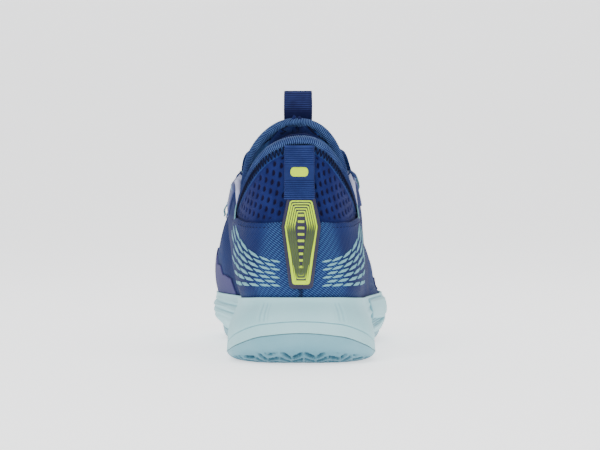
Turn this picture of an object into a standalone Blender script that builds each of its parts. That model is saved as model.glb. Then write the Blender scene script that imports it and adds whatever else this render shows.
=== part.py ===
"""Right-foot court shoe, size EU 42.5, built from its separate pieces.

Frame: +Y points to the toe, +X to the outer (lateral) side and +Z up. The origin lies under the middle
of the shoe, on the ground. Lengths below are in millimetres and become metres when a mesh is made.

Two surfaces carry every piece of the upper, FORM and SHELL:
- t runs once round the sole's edge, from the back of the heel (0) along the lateral side to the toe (19)
  and back along the medial side (38).
- v runs up the upper: -1 is the tucked edge on the strobel board, 0 the bite line where the upper leaves
  the midsole, and 1 the collar's rim or the ridge over the instep.
Both are faceted on one grid of t and v, so layers at different lifts from them stay clear of each other.
WALL is the sole's side wall, from the lip round the upper (w = 0) down to the outsole (w = 1).
"""

import math
from functools import partial

import bmesh
import bpy
import numpy as np
from mathutils import Vector

MM = 0.001
ORIGIN_X = -1.37  # the middle of the overall width, as x from the heel's centre line
TOE = 19  # station at the toe; the heel is station 0
AROUND = 2 * TOE
STEP = 0.5  # spacing of the columns round the shoe, in stations
GAP = 0.3  # clearance between pieces that touch on the real shoe

# Station table, heel to toe: y, lateral x, medial x, bite inset, bite z, widest z, outsole line z,
# ground inset.
SOLE = [
    (-150, 0, 0, 8.0, 36.2, 23.8, 17.6, 25),
    (-144, 20.5, -20.5, 8.2, 36.0, 22, 15.5, 21),
    (-129, 34.5, -34.5, 8.8, 35.2, 16.5, 10, 14),
    (-107, 40.6, -40.6, 9.2, 34.2, 10.5, 5.2, 9),
    (-84, 40.8, -40.4, 8.8, 33.0, 10, 4.8, 8.5),
    (-68, 40, -38, 7.8, 32, 10, 4.8, 8.5),
    (-55, 39.4, -36.2, 7, 31.4, 10.5, 4.8, 8.5),
    (-44, 39.4, -35.2, 6.4, 30.8, 11, 5, 8.5),
    (-34, 39.8, -34.8, 6, 30.4, 11.5, 5, 8.5),
    (-24, 40.6, -35.4, 5.6, 30, 12, 5.2, 8.5),
    (-4, 43.5, -38.5, 5, 30, 13, 5.6, 8.5),
    (18, 48, -45.5, 4.6, 30, 14, 6.2, 8.5),
    (40, 52, -52.5, 4.3, 30, 15, 7, 9),
    (62, 53.4, -56, 4.2, 30, 15, 8, 9),
    (84, 51.6, -55.6, 4.2, 30, 16, 9.5, 9),
    (104, 48.2, -52.6, 4.6, 30.2, 17, 11.5, 10),
    (122, 41, -45, 5.2, 30.8, 19, 14, 11),
    (136, 30.5, -34.5, 5.8, 31.6, 21, 16.5, 12),
    (146, 16, -20.5, 6.2, 32.4, 22.5, 18, 13),
    (150, -3, -3, 6.4, 32.6, 23, 18.5, 13),
]
# Collar rim at stations 0 to 9: lateral x, medial x, y, z. Station 9 is the top of the tongue.
RIM = [
    (0, 0, -143, 119.5),
    (13, -15.5, -139.5, 116),
    (21.5, -26, -127, 106),
    (28, -32.5, -106, 93),
    (30.8, -35.5, -84, 84),
    (30.8, -35, -68, 86),
    (28.8, -32.5, -54, 98.5),
    (25.4, -27.4, -45, 116),
    (15, -15, -38.5, 132),
    (0, 0, -36, 136.5),
]
TONGUE_TOP = len(RIM) - 1
# Ridge over the instep and toes at stations 9 to 19: y, z.
RIDGE = [
    (-36, 136.5),
    (-14, 114),
    (12, 97),
    (36, 82),
    (57, 71),
    (76, 65),
    (92, 60.5),
    (105, 57),
    (114, 53.5),
    (119, 51),
    (121, 50),
]
# How each profile bulges, at stations 0 to 19: outwards and upwards at the bite line, outwards and
# down at the top.
BULGE = [
    (9, 26, -14, 24),
    (8, 26, -10, 24),
    (7, 24, -2, 22),
    (6, 20, 3, 18),
    (7, 15, 4, 14),
    (9, 16, 6, 14),
    (11, 20, 8, 18),
    (11, 22, 10, 24),
    (11, 24, 17, 14),
    (11, 24, 21, 0),
    (9, 22, 23, 0),
    (7, 20, 25, 0),
    (5, 18, 26, 0),
    (3, 16, 28, 0),
    (3, 15, 27, 0),
    (3, 14, 23, 0),
    (3, 12, 18, 0),
    (3, 11, 12, 0),
    (3, 11, 8, 0),
    (3, 10, 8, 0),
]
# How much further each side bulges halfway up, at some stations: station, lateral, medial.
SIDE_BULGE = [
    (0, 0, 0), (4, -1, 0.5), (6, -3, 1), (9, -4.5, 2), (11, -3.5, 6), (13, -1.5, 7), (15, 0, 3), (TOE, 0, 0),
]
WIDEST_W = 0.62  # where the sole's side wall is widest, as w
RIDGE_DRIFT = -3.0  # the ridge leans this far to the medial side by the toe

# Upper edge of the woven shell, as v at each station: low round the heel, up to the lace flaps and
# down the throat.
SHELL_EDGE = [
    (0, 0.46), (1, 0.46), (2, 0.49), (3, 0.58), (4, 0.80), (5, 0.93), (6, 0.93), (7, 0.80), (8, 0.67),
    (9, 0.61), (10, 0.63), (11, 0.69), (12, 0.79), (12.6, 0.91), (13, 1.0), (TOE, 1.0),
]
FOOTBED = [(-150, 23.5), (-110, 22.5), (-60, 22), (0, 18), (50, 15), (80, 15.5), (110, 18), (150, 25)]
TOE_SPRING, SPRING_START = 12.0, 70.0
OUTSOLE_THICKNESS = 4.0
SHELL_THICKNESS = 1.2
SOCK_THICKNESS = 1.1
GUARD_THICKNESS = 0.6
RIM_CLEAR = 6.6  # what lies under the binding's edge, along the profile
COVER_START = 9.4  # where the tongue's middle begins, just ahead of the binding
FLARE = (4.5, 6.5)  # how far the tops of the lateral and medial lace flaps stand off the sock

# Forefoot flex: an oblique axis through the ball of the foot, inside the midsole.
FLEX_POINT = (0.0, 60.0, 20.0)
FLEX_SKEW = math.radians(11)
FLEX_LIMIT = math.radians(35)

LACE_WIDTH, LACE_THICKNESS = 5.2, 1.2
LACE_STATIONS = [12.0, 11.45, 10.9, 10.35, 9.8, 8.3]  # lowest row first
LACE_BESIDE = 6.8  # from the throat's edge to the lace in its loops
LACE_LIFT = 4.3  # the lace's middle above the shell's inner face, in its loops
LOOP_HALF = 0.035  # half a loop's length, in stations
LOOP_REACH = 0.2
AGLET_LENGTH = 9.0

NAVY = (0.020, 0.045, 0.190)
BLUE = (0.035, 0.085, 0.290)
AQUA = (0.420, 0.600, 0.640)
TEAL = (0.270, 0.490, 0.560)
LIME = (0.560, 0.700, 0.060)
LAVENDER = (0.300, 0.280, 0.440)
WHITE = (0.750, 0.750, 0.760)


# ---------------------------------------------------------------- curves


def closed_spline(points):
    """A smooth closed curve through points at parameters 0, 1, 2 and so on, as a function of an array."""
    p = np.array(points, float)
    n = len(p)
    system = 4 * np.eye(n) + np.roll(np.eye(n), 1, 0) + np.roll(np.eye(n), -1, 0)
    slope = np.linalg.solve(system, 3 * (np.roll(p, -1, 0) - np.roll(p, 1, 0)))

    def at(t):
        t = np.mod(np.asarray(t, float), n)
        i = np.minimum(t.astype(int), n - 1)
        j, s = (i + 1) % n, (t - i)[..., None]
        rise = 3 * s**2 - 2 * s**3
        return (
            p[i] * (1 - rise) + p[j] * rise + slope[i] * s * (1 - s) ** 2 - slope[j] * s**2 * (1 - s)
        )

    return at


def smooth(xs, ys, x):
    """ys at x, between the given points with no overshoot, and level at both ends."""
    xs, ys, x = np.asarray(xs, float), np.asarray(ys, float), np.asarray(x, float)
    step = np.diff(xs)
    slope = np.diff(ys) / step
    inner = np.where(
        slope[:-1] * slope[1:] > 0, 2 * slope[:-1] * slope[1:] / (slope[:-1] + slope[1:] + 1e-12), 0
    )
    slopes = np.concatenate([[0], inner, [0]])
    x = np.clip(x, xs[0], xs[-1])
    i = np.clip(np.searchsorted(xs, x) - 1, 0, len(step) - 1)
    s = (x - xs[i]) / step[i]
    rise = 3 * s**2 - 2 * s**3
    bend = slopes[i] * s * (1 - s) ** 2 - slopes[i + 1] * s**2 * (1 - s)
    return ys[i] * (1 - rise) + ys[i + 1] * rise + step[i] * bend


def ramp(low, high, x):
    """0 below low, 1 above high and smooth between. With high below low it falls instead."""
    s = np.clip((np.asarray(x, float) - low) / (high - low), 0, 1)
    return s * s * (3 - 2 * s)


def half(t):
    """The station, 0 at the heel and 19 at the toe, on either side."""
    t = np.mod(np.asarray(t, float), AROUND)
    return np.minimum(t, AROUND - t)


def side(t):
    """+1 on the lateral side and -1 on the medial side."""
    return np.where(np.mod(np.asarray(t, float), AROUND) <= TOE, 1.0, -1.0)


OUTLINE = closed_spline(
    [(lateral, y) for y, lateral, *_ in SOLE] + [(row[2], row[0]) for row in SOLE[TOE - 1 : 0 : -1]]
)
RIM_CURVE = closed_spline(
    [(lateral, y, z) for lateral, _, y, z in RIM] + [row[1:] for row in RIM[TONGUE_TOP - 1 : 0 : -1]]
)
STATIONS = np.arange(TOE + 1)


def sole_value(column, t):
    """A column of the SOLE table at t."""
    return smooth(STATIONS, [row[column] for row in SOLE], half(t))


def outward(t):
    """The horizontal direction that points out of the sole's edge, as x, y, 0."""
    d = OUTLINE(np.asarray(t, float) + 0.01) - OUTLINE(np.asarray(t, float) - 0.01)
    d /= np.linalg.norm(d, axis=-1, keepdims=True)
    return np.stack([d[..., 1], -d[..., 0], np.zeros_like(d[..., 0])], -1)


def inset_point(t, inset, z):
    """A point inset from the sole's edge, at height z."""
    edge = OUTLINE(t) - outward(t)[..., :2] * np.asarray(inset, float)[..., None]
    return np.concatenate([edge, np.broadcast_to(np.asarray(z, float)[..., None], edge[..., :1].shape)], -1)


def footbed(y):
    return smooth(*zip(*FOOTBED), y)


def ground(y):
    """The underside's height: flat, then rising under the toes."""
    return TOE_SPRING * np.clip((np.asarray(y, float) - SPRING_START) / (150 - SPRING_START), 0, None) ** 2


# ---------------------------------------------------------------- the two surfaces


def ridge(h):
    """Ridge point at station h, from the tongue's top to the toe."""
    where = np.arange(TONGUE_TOP, TOE + 1)
    y = smooth(where, [p[0] for p in RIDGE], h)
    z = smooth([p[0] for p in RIDGE], [p[1] for p in RIDGE], y)
    x = RIDGE_DRIFT * np.clip((h - TONGUE_TOP) / (TOE - TONGUE_TOP), 0, 1)
    return np.stack([x, y, z], -1)


def top(t):
    """Where the profile at t ends: on the collar's rim or on the ridge."""
    h = half(t)
    on_rim = RIM_CURVE(np.where(side(t) > 0, np.minimum(h, TONGUE_TOP), -np.minimum(h, TONGUE_TOP)))
    return np.where((h <= TONGUE_TOP)[..., None], on_rim, ridge(h))


def form(t, v):
    """The outside of the foot-shaped sock."""
    t, v = np.broadcast_arrays(np.asarray(t, float), np.asarray(v, float))
    h, out, up = half(t), outward(t), np.array([0.0, 0.0, 1.0])
    inset = sole_value(3, t)
    bite = inset_point(t, inset, sole_value(4, t))
    tuck = inset_point(t, inset + 2.5, 0 * inset)
    tuck[..., 2] = footbed(tuck[..., 1]) + 2
    out1, up1, out2, down2 = (smooth(STATIONS, [row[i] for row in BULGE], h)[..., None] for i in range(4))
    end = top(t)
    before, after = ridge(np.clip(h - 0.2, TONGUE_TOP, TOE)), ridge(np.clip(h + 0.2, TONGUE_TOP, TOE))
    fall = np.where(h > TONGUE_TOP, (before - after)[..., 2] / ((after - before)[..., 1] + 1e-9), 0)
    lean = out.copy()
    lean[..., 2] = -fall * out[..., 1]
    p1 = bite + out * out1 + up * up1
    p2 = end + lean * out2 - up * down2
    s = np.clip(v, 0, 1)[..., None]
    curve = bite * (1 - s) ** 3 + 3 * p1 * s * (1 - s) ** 2 + 3 * p2 * s**2 * (1 - s) + end * s**3
    where, lateral, medial = zip(*SIDE_BULGE)
    more = np.where(side(t) > 0, smooth(where, lateral, h), smooth(where, medial, h))[..., None]
    curve = curve + out * more * np.sin(np.pi * s)
    low = np.clip(-v, 0, 1)[..., None]
    return curve * (1 - low) + tuck * low


def shell_edge(t):
    return smooth(*zip(*SHELL_EDGE), half(t))


def flared_form(t, v):
    """The sock's surface with the lace flaps flared outwards, for the shell and what is sewn to it."""
    h = half(t)
    near_flap = ramp(4.6, 6.6, h) * ramp(11.5, 7.2, h)
    near_top = ramp(0.30, 0.85, np.asarray(v, float) / shell_edge(t))
    lift = np.where(side(t) > 0, *FLARE) * near_flap * near_top
    return form(t, v) + outward(t) * lift[..., None]


def wall(t, w):
    """The sole's side wall from the lip (w = 0) to the outsole line (w = 1)."""
    t, w = np.broadcast_arrays(np.asarray(t, float), np.asarray(w, float))
    bite_inset, bite, widest, line = (sole_value(i, t) for i in (3, 4, 5, 6))
    above, below = w / WIDEST_W, (w - WIDEST_W) / (1 - WIDEST_W)
    inset = (bite_inset - 3.2) * (1 - ramp(0, 1, above)) + 0.8 * ramp(WIDEST_W, 1, w)
    inset = inset - 0.9 * np.sin(np.pi * np.clip(above, 0, 1)) ** 2
    z = np.where(w < WIDEST_W, bite - 1 + (widest - bite + 1) * above, widest + (line - widest) * below)
    return inset_point(t, inset, z)


# ---------------------------------------------------------------- meshes


def grid_faces(rows, columns):
    """Quads over a grid of points stored row by row, where a row is one t."""
    return [
        (i * columns + j, (i + 1) * columns + j, (i + 1) * columns + j + 1, i * columns + j + 1)
        for i in range(rows - 1)
        for j in range(columns - 1)
    ]


def weld(points, faces, within=1e-3):
    """Which points to keep, where each point went, and the faces left once points that coincide are one."""
    _, first, index = np.unique(np.round(points / within), axis=0, return_index=True, return_inverse=True)
    index = index.reshape(-1)
    kept = []
    for face in faces:
        corners = [int(index[i]) for i in face]
        corners = [c for k, c in enumerate(corners) if c != corners[k - 1]]
        if len(set(corners)) > 2:
            kept.append(tuple(corners))
    return first, index, kept


def vertex_normals(points, faces):
    normals = np.zeros_like(points)
    for face in faces:
        p = points[list(face)]
        last = p[3] if len(face) == 4 else p[0]
        normal = np.cross(p[2] - p[0], last - p[1])
        for i in face:
            normals[i] += normal
    return normals / (np.linalg.norm(normals, axis=1, keepdims=True) + 1e-12)


class Surface:
    """A surface faceted on a grid of t and v, with a normal at each of its points."""

    def __init__(self, curve, rows, facing=1):
        self.rows = np.array(rows, float)
        ts = np.arange(0, AROUND + STEP / 2, STEP)
        grid = curve(ts[:, None], self.rows[None, :])
        flat = grid.reshape(-1, 3)
        first, index, faces = weld(flat, grid_faces(len(ts), len(self.rows)))
        self.points = grid
        self.normals = facing * vertex_normals(flat[first], faces)[index].reshape(grid.shape)

    def look_up(self, table, t, v):
        t, v = np.broadcast_arrays(np.mod(np.asarray(t, float), AROUND) / STEP, np.asarray(v, float))
        i = np.minimum(t.astype(int), len(table) - 2)
        v = np.clip(v, self.rows[0], self.rows[-1])
        j = np.clip(np.searchsorted(self.rows, v, side="right") - 1, 0, len(self.rows) - 2)
        a = (t - i)[..., None]
        b = ((v - self.rows[j]) / (self.rows[j + 1] - self.rows[j]))[..., None]
        low = table[i, j] * (1 - a) + table[i + 1, j] * a
        return low * (1 - b) + (table[i, j + 1] * (1 - a) + table[i + 1, j + 1] * a) * b

    def at(self, t, v, lift=0.0):
        """The point at t and v, lifted along the normal."""
        normal = self.look_up(self.normals, t, v)
        return self.look_up(self.points, t, v) + normal * np.asarray(lift, float)[..., None]

    def normal(self, t, v):
        normal = self.look_up(self.normals, t, v)
        return normal / np.linalg.norm(normal, axis=-1, keepdims=True)

    def layer(self, strips, low, high, outer, inner):
        """The closed solid between two lifts, over strips of columns, with v from low(t) to high(t).

        outer and inner are lifts, or functions of t and v. Its rows are the surface's own between the
        two edges, and an edge that comes close to a row takes that row's place.
        """
        ts, vs, faces = [], [], []
        for strip in strips:
            ends = []
            for limit in (low, high):
                v = np.asarray(limit(strip), float)
                nearest = self.rows[np.abs(v[:, None] - self.rows).argmin(1)]
                ends.append(np.where(np.abs(v - nearest) < SNAP, nearest, v)[:, None])
            rows = np.concatenate([[-np.inf], self.rows, [np.inf]])
            v = np.clip(rows, *ends)
            start = sum(len(part) for part in ts)
            ts.append(np.broadcast_to(strip[:, None], v.shape).ravel())
            vs.append(v.ravel())
            faces += [tuple(start + i for i in f) for f in grid_faces(*v.shape)]
        t, v = np.concatenate(ts), np.concatenate(vs)
        first, _, faces = weld(self.at(t, v), faces)
        t, v = t[first], v[first]
        lifts = [
            value(t, v) if callable(value) else np.full(len(t), float(value)) for value in (outer, inner)
        ]
        return closed(*(self.at(t, v, lift) for lift in lifts), faces)


def closed(front, back, faces):
    """The closed solid between two copies of a sheet."""
    n = len(front)
    edges = {(a, b) for f in faces for a, b in zip(f, f[1:] + f[:1])}
    sides = [(b, a, n + a, n + b) for a, b in edges if (b, a) not in edges]
    backs = [tuple(n + i for i in reversed(f)) for f in faces]
    return np.concatenate([front, back]), faces + backs + sorted(sides)


V_ROWS = [-1, 0, 0.15, 0.3, 0.45, 0.6, 0.7, 0.8, 0.9, 1]
W_ROWS = [0, 0.2, 0.4, WIDEST_W, 0.8, 1]
SNAP = 0.02  # how close, in v, an edge comes to a row of the grid before it takes the row's place
FORM = Surface(form, V_ROWS)
SHELL = Surface(flared_form, V_ROWS)
WALL = Surface(wall, W_ROWS, facing=-1)


def skin(rings, closed=True):
    """Faces over a stack of rings with equal counts, each an array of points. Closed rings wrap round."""
    count = len(rings[0])
    faces = []
    for k in range(len(rings) - 1):
        for i in range(count if closed else count - 1):
            j = (i + 1) % count
            faces.append((k * count + i, k * count + j, (k + 1) * count + j, (k + 1) * count + i))
    return np.concatenate(rings), faces


def ladder(first, count, flip=False):
    """Faces that close a sole-shaped ring: point i faces point count - i across the sole."""
    faces = []
    for i in range(count // 2):
        far, far_next = (count - i) % count, count - i - 1
        face = [first + i, first + i + 1, first + far_next, first + far]
        face = [c for k, c in enumerate(face) if c != face[k - 1]]
        faces.append(tuple(reversed(face)) if flip else tuple(face))
    return faces


def ring_solid(rings):
    """A solid from rings that run from the middle of its top, over the edge, to the middle underneath."""
    points, faces = skin(rings)
    faces = [tuple(reversed(f)) for f in faces]
    count = len(rings[0])
    return points, faces + ladder(0, count) + ladder((len(rings) - 1) * count, count, flip=True)


def material(name, colour, roughness=0.7, metallic=0.0):
    made = bpy.data.materials.new(name)
    made.use_nodes = True
    shader = made.node_tree.nodes["Principled BSDF"]
    shader.inputs["Base Color"].default_value = (*colour, 1)
    shader.inputs["Roughness"].default_value = roughness
    shader.inputs["Metallic"].default_value = metallic
    made.diffuse_color = (*colour, 1)
    return made


def add(name, points, faces, colour, roughness=0.7, pivot=(ORIGIN_X, 0, 0)):
    """One named object, with its own origin at pivot."""
    mesh = bpy.data.meshes.new(name)
    corners = (np.asarray(points) - np.asarray(pivot, float)) * MM
    mesh.from_pydata(corners.tolist(), [], [list(map(int, face)) for face in faces])
    work = bmesh.new()
    work.from_mesh(mesh)
    bmesh.ops.recalc_face_normals(work, faces=work.faces)
    work.to_mesh(mesh)
    work.free()
    mesh.shade_smooth()
    mesh.set_sharp_from_angle(angle=math.radians(40))
    mesh.materials.append(material(name, colour, roughness))
    made = bpy.data.objects.new(name, mesh)
    made.location = [(pivot[0] - ORIGIN_X) * MM, pivot[1] * MM, pivot[2] * MM]
    bpy.context.scene.collection.objects.link(made)
    return made


def keep_side(points, faces, point, direction):
    """The part of a solid on the side of a plane that direction points to, closed again along the cut."""
    work = bmesh.new()
    corners = [work.verts.new(p) for p in points]
    for face in faces:
        work.faces.new([corners[i] for i in face])
    bmesh.ops.recalc_face_normals(work, faces=work.faces)
    everything = work.verts[:] + work.edges[:] + work.faces[:]
    bmesh.ops.bisect_plane(
        work, geom=everything, plane_co=Vector(point), plane_no=Vector(direction), clear_inner=True,
        dist=1e-5,
    )
    rim = [e for e in work.edges if e.is_boundary]
    bmesh.ops.triangle_fill(work, edges=rim, use_beauty=True, use_dissolve=False)
    bmesh.ops.recalc_face_normals(work, faces=work.faces)
    work.verts.index_update()
    cut = np.array([v.co[:] for v in work.verts]), [tuple(v.index for v in f.verts) for f in work.faces]
    work.free()
    return cut


FLEX_FORWARD = np.array([math.sin(FLEX_SKEW), math.cos(FLEX_SKEW), 0.0])


def flex_plane(ahead, tilt):
    """A plane by the flex axis: ahead of it by that much, and leaning forwards by tilt above it."""
    point = np.array(FLEX_POINT) + FLEX_FORWARD * ahead
    direction = FLEX_FORWARD * math.cos(tilt) - np.array([0, 0, math.sin(tilt)])
    return point, direction


def split_at_flex(solid, lean):
    """Cuts a solid before and behind the flex axis, leaving a wedge above it, half the limit each way."""
    front = keep_side(*solid, *flex_plane(GAP / 2, 0))
    front = keep_side(*front, *flex_plane(GAP / 2 + lean, FLEX_LIMIT / 2))
    point, direction = flex_plane(-GAP / 2 - lean, -FLEX_LIMIT / 2)
    rear = keep_side(*solid, point, -direction)
    point, direction = flex_plane(-GAP / 2, 0)
    return front, keep_side(*rear, point, -direction)


def around(start, stop, step=STEP):
    """Columns from start to stop, on the shared station grid with the ends included."""
    inner = np.arange(math.ceil(start / step + 1e-6), math.floor(stop / step - 1e-6) + 1) * step
    return np.concatenate([[start], inner, [stop]])


def columns(start, stop):
    """Columns from start to stop that pass the tongue's top ahead of the rim, where the binding ends."""
    ts = around(start, stop)
    for station, ahead in ((TONGUE_TOP, COVER_START), (AROUND - TONGUE_TOP, AROUND - COVER_START)):
        ts = np.where(np.abs(ts - station) < STEP / 4, ahead, ts)
    return ts


def both_sides(start, stop):
    """The strips from start to stop on the lateral side and the same on the medial side."""
    return [around(start, stop), around(AROUND - stop, AROUND - start)]


def level(value):
    return lambda ts: np.full(np.shape(ts), float(value))


def rim_limit(t):
    """How high a collar piece reaches before the binding, as v."""
    t = np.asarray(t, float)
    climb = (form(t, 1.0) - form(t, 0.9)) / 0.1
    along = form(t + 0.1, 1.0) - form(t - 0.1, 1.0)
    along /= np.linalg.norm(along, axis=-1, keepdims=True) + 1e-9
    climb = climb - along * (climb * along).sum(-1, keepdims=True)
    return np.where(half(t) <= TONGUE_TOP, 1 - RIM_CLEAR / np.linalg.norm(climb, axis=-1), 1.0)


# ---------------------------------------------------------------- the sole

ALL_ROUND = np.arange(0, AROUND, STEP)


def underside_ring(t, turn, lift=0.0, start=0.8, spread=0.0):
    """A ring on the roll from the outsole line (turn = 0) to the underside (turn = 90 degrees)."""
    line, roll = sole_value(6, t), sole_value(7, t) + spread
    low = ground(inset_point(t, roll, 0 * line)[..., 1]) + lift
    rise = np.maximum(line + lift - OUTSOLE_THICKNESS - low, 0.4) if lift else line - low
    return inset_point(t, start + (roll - start) * (1 - math.cos(turn)), low + rise * (1 - math.sin(turn)))


TURNS = [math.radians(a) for a in (30, 60, 90)]


def make_outsole():
    t = ALL_ROUND
    line = sole_value(6, t)
    inner = [underside_ring(t, a, OUTSOLE_THICKNESS, 3.6, 3.5) for a in reversed(TURNS)]
    outer = [underside_ring(t, a) for a in TURNS]
    rings = inner + [inset_point(t, 3.6 + 0 * line, line), inset_point(t, 0.8 + 0 * line, line)] + outer
    front, rear = split_at_flex(ring_solid(rings), 0)
    add("outsole_forefoot", *front, TEAL, 0.55, FLEX_POINT)
    add("outsole_rear", *rear, TEAL, 0.55)


def make_midsole():
    t = ALL_ROUND
    bite_inset, bite, line = sole_value(3, t), sole_value(4, t), sole_value(6, t)
    cup = bite_inset - SHELL_THICKNESS - 2 * GAP
    floor = inset_point(t, cup + 3, 0 * t)
    floor[:, 2] = footbed(floor[:, 1])
    foot = inset_point(t, cup + 1.5, 0 * t)
    foot[:, 2] = footbed(foot[:, 1]) + 1.5
    lip = [foot, inset_point(t, cup, bite - 3), inset_point(t, cup, bite - 0.2)]
    side_wall = [WALL.at(t, w) for w in W_ROWS[:-1]]
    foot_edge = [inset_point(t, inset + 0 * line, line + GAP) for inset in (0.8, 3.6 + GAP)]
    under = [underside_ring(t, a, OUTSOLE_THICKNESS + GAP, 3.6 + GAP, 3.5 + GAP) for a in TURNS]
    solid = ring_solid([floor] + lip + side_wall + foot_edge + under)
    front, rear = split_at_flex(solid, 0)
    add("midsole_forefoot", *front, AQUA, 0.6, FLEX_POINT)
    return add("midsole_rear", *rear, AQUA, 0.6)


def make_shank(midsole):
    """A stiff plate in a pocket under the midsole, from the heel to behind the ball."""
    width, length, thickness, y_middle = 34.0, 88.0, 1.4, -30.0
    for name, grow in (("shank_pocket", GAP), ("midfoot_shank", 0)):
        low = OUTSOLE_THICKNESS + (GAP if name == "midfoot_shank" else -2.0)
        high = OUTSOLE_THICKNESS + 2 * GAP + thickness + (0 if name == "midfoot_shank" else GAP)
        outline = []
        for corner in range(4):
            sign_x, sign_y = ((1, 1), (-1, 1), (-1, -1), (1, -1))[corner]
            for k in range(5):
                angle = math.radians(90 * corner + 22.5 * k)
                x = sign_x * (width / 2 - 8) + (8 + grow) * math.cos(angle)
                y = y_middle + sign_y * (length / 2 - 8) + (8 + grow) * math.sin(angle)
                outline.append((x, y))
        rings = [np.array([(x, y, z) for x, y in outline]) for z in (low, high)]
        points, faces = skin(rings)
        count = len(outline)
        faces += [tuple(range(count - 1, -1, -1)), tuple(range(count, 2 * count))]
        plate = add(name, points, faces, NAVY, 0.4)
        if name == "shank_pocket":
            plate.hide_render = True
            plate.display_type = "WIRE"
            cut = midsole.modifiers.new("shank pocket", "BOOLEAN")
            cut.operation, cut.object = "DIFFERENCE", plate


def make_board(name, clearance, low, high, colour, cupped=0.0):
    """A sole-shaped board inside the upper, between two heights above the footbed."""
    t = ALL_ROUND
    inset = sole_value(3, t) + clearance
    rings = []
    for extra, z in ((7 if cupped else 2, high), (0, high + cupped), (0, low), (2, low)):
        ring = inset_point(t, inset + extra, 0 * t)
        ring[:, 2] = footbed(ring[:, 1]) + z
        rings.append(ring)
    return add(name, *ring_solid(rings), colour, 0.9)


def outrigger_bulge(t, w):
    along = np.clip((t - 10.4) / 2.1, 0, 1)
    return GAP + 0.5 + 2.1 * np.sin(np.pi * along) * np.sin(np.pi * np.clip((w - 0.1) / 0.9, 0, 1))


def make_outrigger():
    """The stabilising block on the lateral wall beside the little toe's joint."""
    solid = WALL.layer([around(10.6, 12.3, 0.25)], level(0.06), level(0.94), outrigger_bulge, GAP)
    add("lateral_outrigger", *solid, AQUA, 0.55)


# ---------------------------------------------------------------- the upper


def lining_depth(t, v):
    """How far the sock's lining lies inside the form, making room for foam, counter and toe puff."""
    h, v = half(t), np.asarray(v, float)
    counter = 1.8 * ramp(6, 4.5, h)
    collar = 4.8 * ramp(6.0, 4.5, h) * ramp(0.35, 0.55, v)
    tongue = 4.1 * ramp(7.5, 8.5, h) * ramp(13.0, 12.0, h) * ramp(0.5, 0.7, v)
    puff = 1.6 * ramp(14.5, 15.5, h)
    return 0.6 + counter + collar + tongue + puff


def make_shell():
    """The woven outer shell: two quarters that meet at the back seam, the vamp and the toe box."""
    solid = SHELL.layer([around(0, AROUND)], level(-1), shell_edge, SHELL_THICKNESS, 0)
    front, rear = split_at_flex(solid, 1.0)
    lateral = keep_side(*rear, (GAP / 2, 0, 0), (1, 0, 0))
    medial = keep_side(*rear, (-GAP / 2, 0, 0), (-1, 0, 0))
    point, direction = flex_plane(1.0 - GAP / 2, FLEX_LIMIT / 2)
    middle = keep_side(*solid, point, -direction)
    middle = keep_side(*middle, *flex_plane(GAP / 2 - 1.0, -FLEX_LIMIT / 2))
    add("toe_box", *front, NAVY, 0.85, FLEX_POINT)
    add("lateral_quarter", *lateral, NAVY, 0.85)
    add("medial_quarter", *medial, NAVY, 0.85)
    add("vamp", *middle, NAVY, 0.85)


def make_sock():
    """The one-piece inner sock, open at the ankle and along the strobel board."""
    solid = FORM.layer(
        [columns(0, AROUND)], level(-0.9), rim_limit,
        lambda t, v: -lining_depth(t, v), lambda t, v: -lining_depth(t, v) - SOCK_THICKNESS,
    )
    add("inner_sock", *solid, BLUE, 0.9)


def foam_depth(t, v):
    return GAP - lining_depth(t, v)


def make_collar():
    """Dotted heel panel, the foam behind it and the counter below."""
    panel = [around(-4.5, 4.5)]
    solid = FORM.layer(panel, lambda t: shell_edge(t) - 0.07, rim_limit, -GAP, -1.4)
    add("heel_collar_panel", *solid, BLUE, 0.85)
    solid = FORM.layer(panel, level(0.6), lambda t: rim_limit(t) - 0.04, -1.4 - GAP, foam_depth)
    add("collar_foam", *solid, WHITE, 0.95)
    solid = FORM.layer([around(-3.6, 3.6)], level(-0.7), lambda t: shell_edge(t) - 0.12, -GAP, -1.9)
    add("heel_counter", *solid, WHITE, 0.5)


def make_tongue():
    """The tongue's outer cover and its foam; the sock's lining closes it from inside."""
    solid = FORM.layer(both_sides(COVER_START, 12.0), level(0.7), level(1), -GAP - 0.1, -1.3)
    add("tongue_cover", *solid, BLUE, 0.85)
    solid = FORM.layer(both_sides(COVER_START, 11.0), level(0.8), level(1), -1.3 - GAP, foam_depth)
    add("tongue_foam", *solid, WHITE, 0.95)


def make_toe_puff():
    solid = FORM.layer([around(15.75, AROUND - 15.75)], level(0), level(0.7), -2 * GAP, -1.6)
    add("toe_puff", *solid, WHITE, 0.6, FLEX_POINT)


def make_toe_guard():
    low = SHELL_THICKNESS + GUARD_THICKNESS + 5 * GAP
    solid = SHELL.layer([around(15.5, AROUND - 15.5)], level(0.03), level(0.30), low + 1.2, low)
    add("toe_guard", *solid, AQUA, 0.55, FLEX_POINT)


def guard_height(t):
    """Upper edge of the drag guard film: tall on the medial forefoot, low round the toe."""
    return smooth((0, 12.6, 16, 20, 23, 25.2, 27.4), (0.10, 0.16, 0.36, 0.42, 0.46, 0.50, 0.14), t)


def make_drag_guard():
    low = SHELL_THICKNESS + 3 * GAP
    strip = [around(12.6, AROUND - 10.6)]
    solid = SHELL.layer(strip, level(0.03), guard_height, low + GUARD_THICKNESS, low)
    add("forefoot_drag_guard", *solid, LAVENDER, 0.5)


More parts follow.
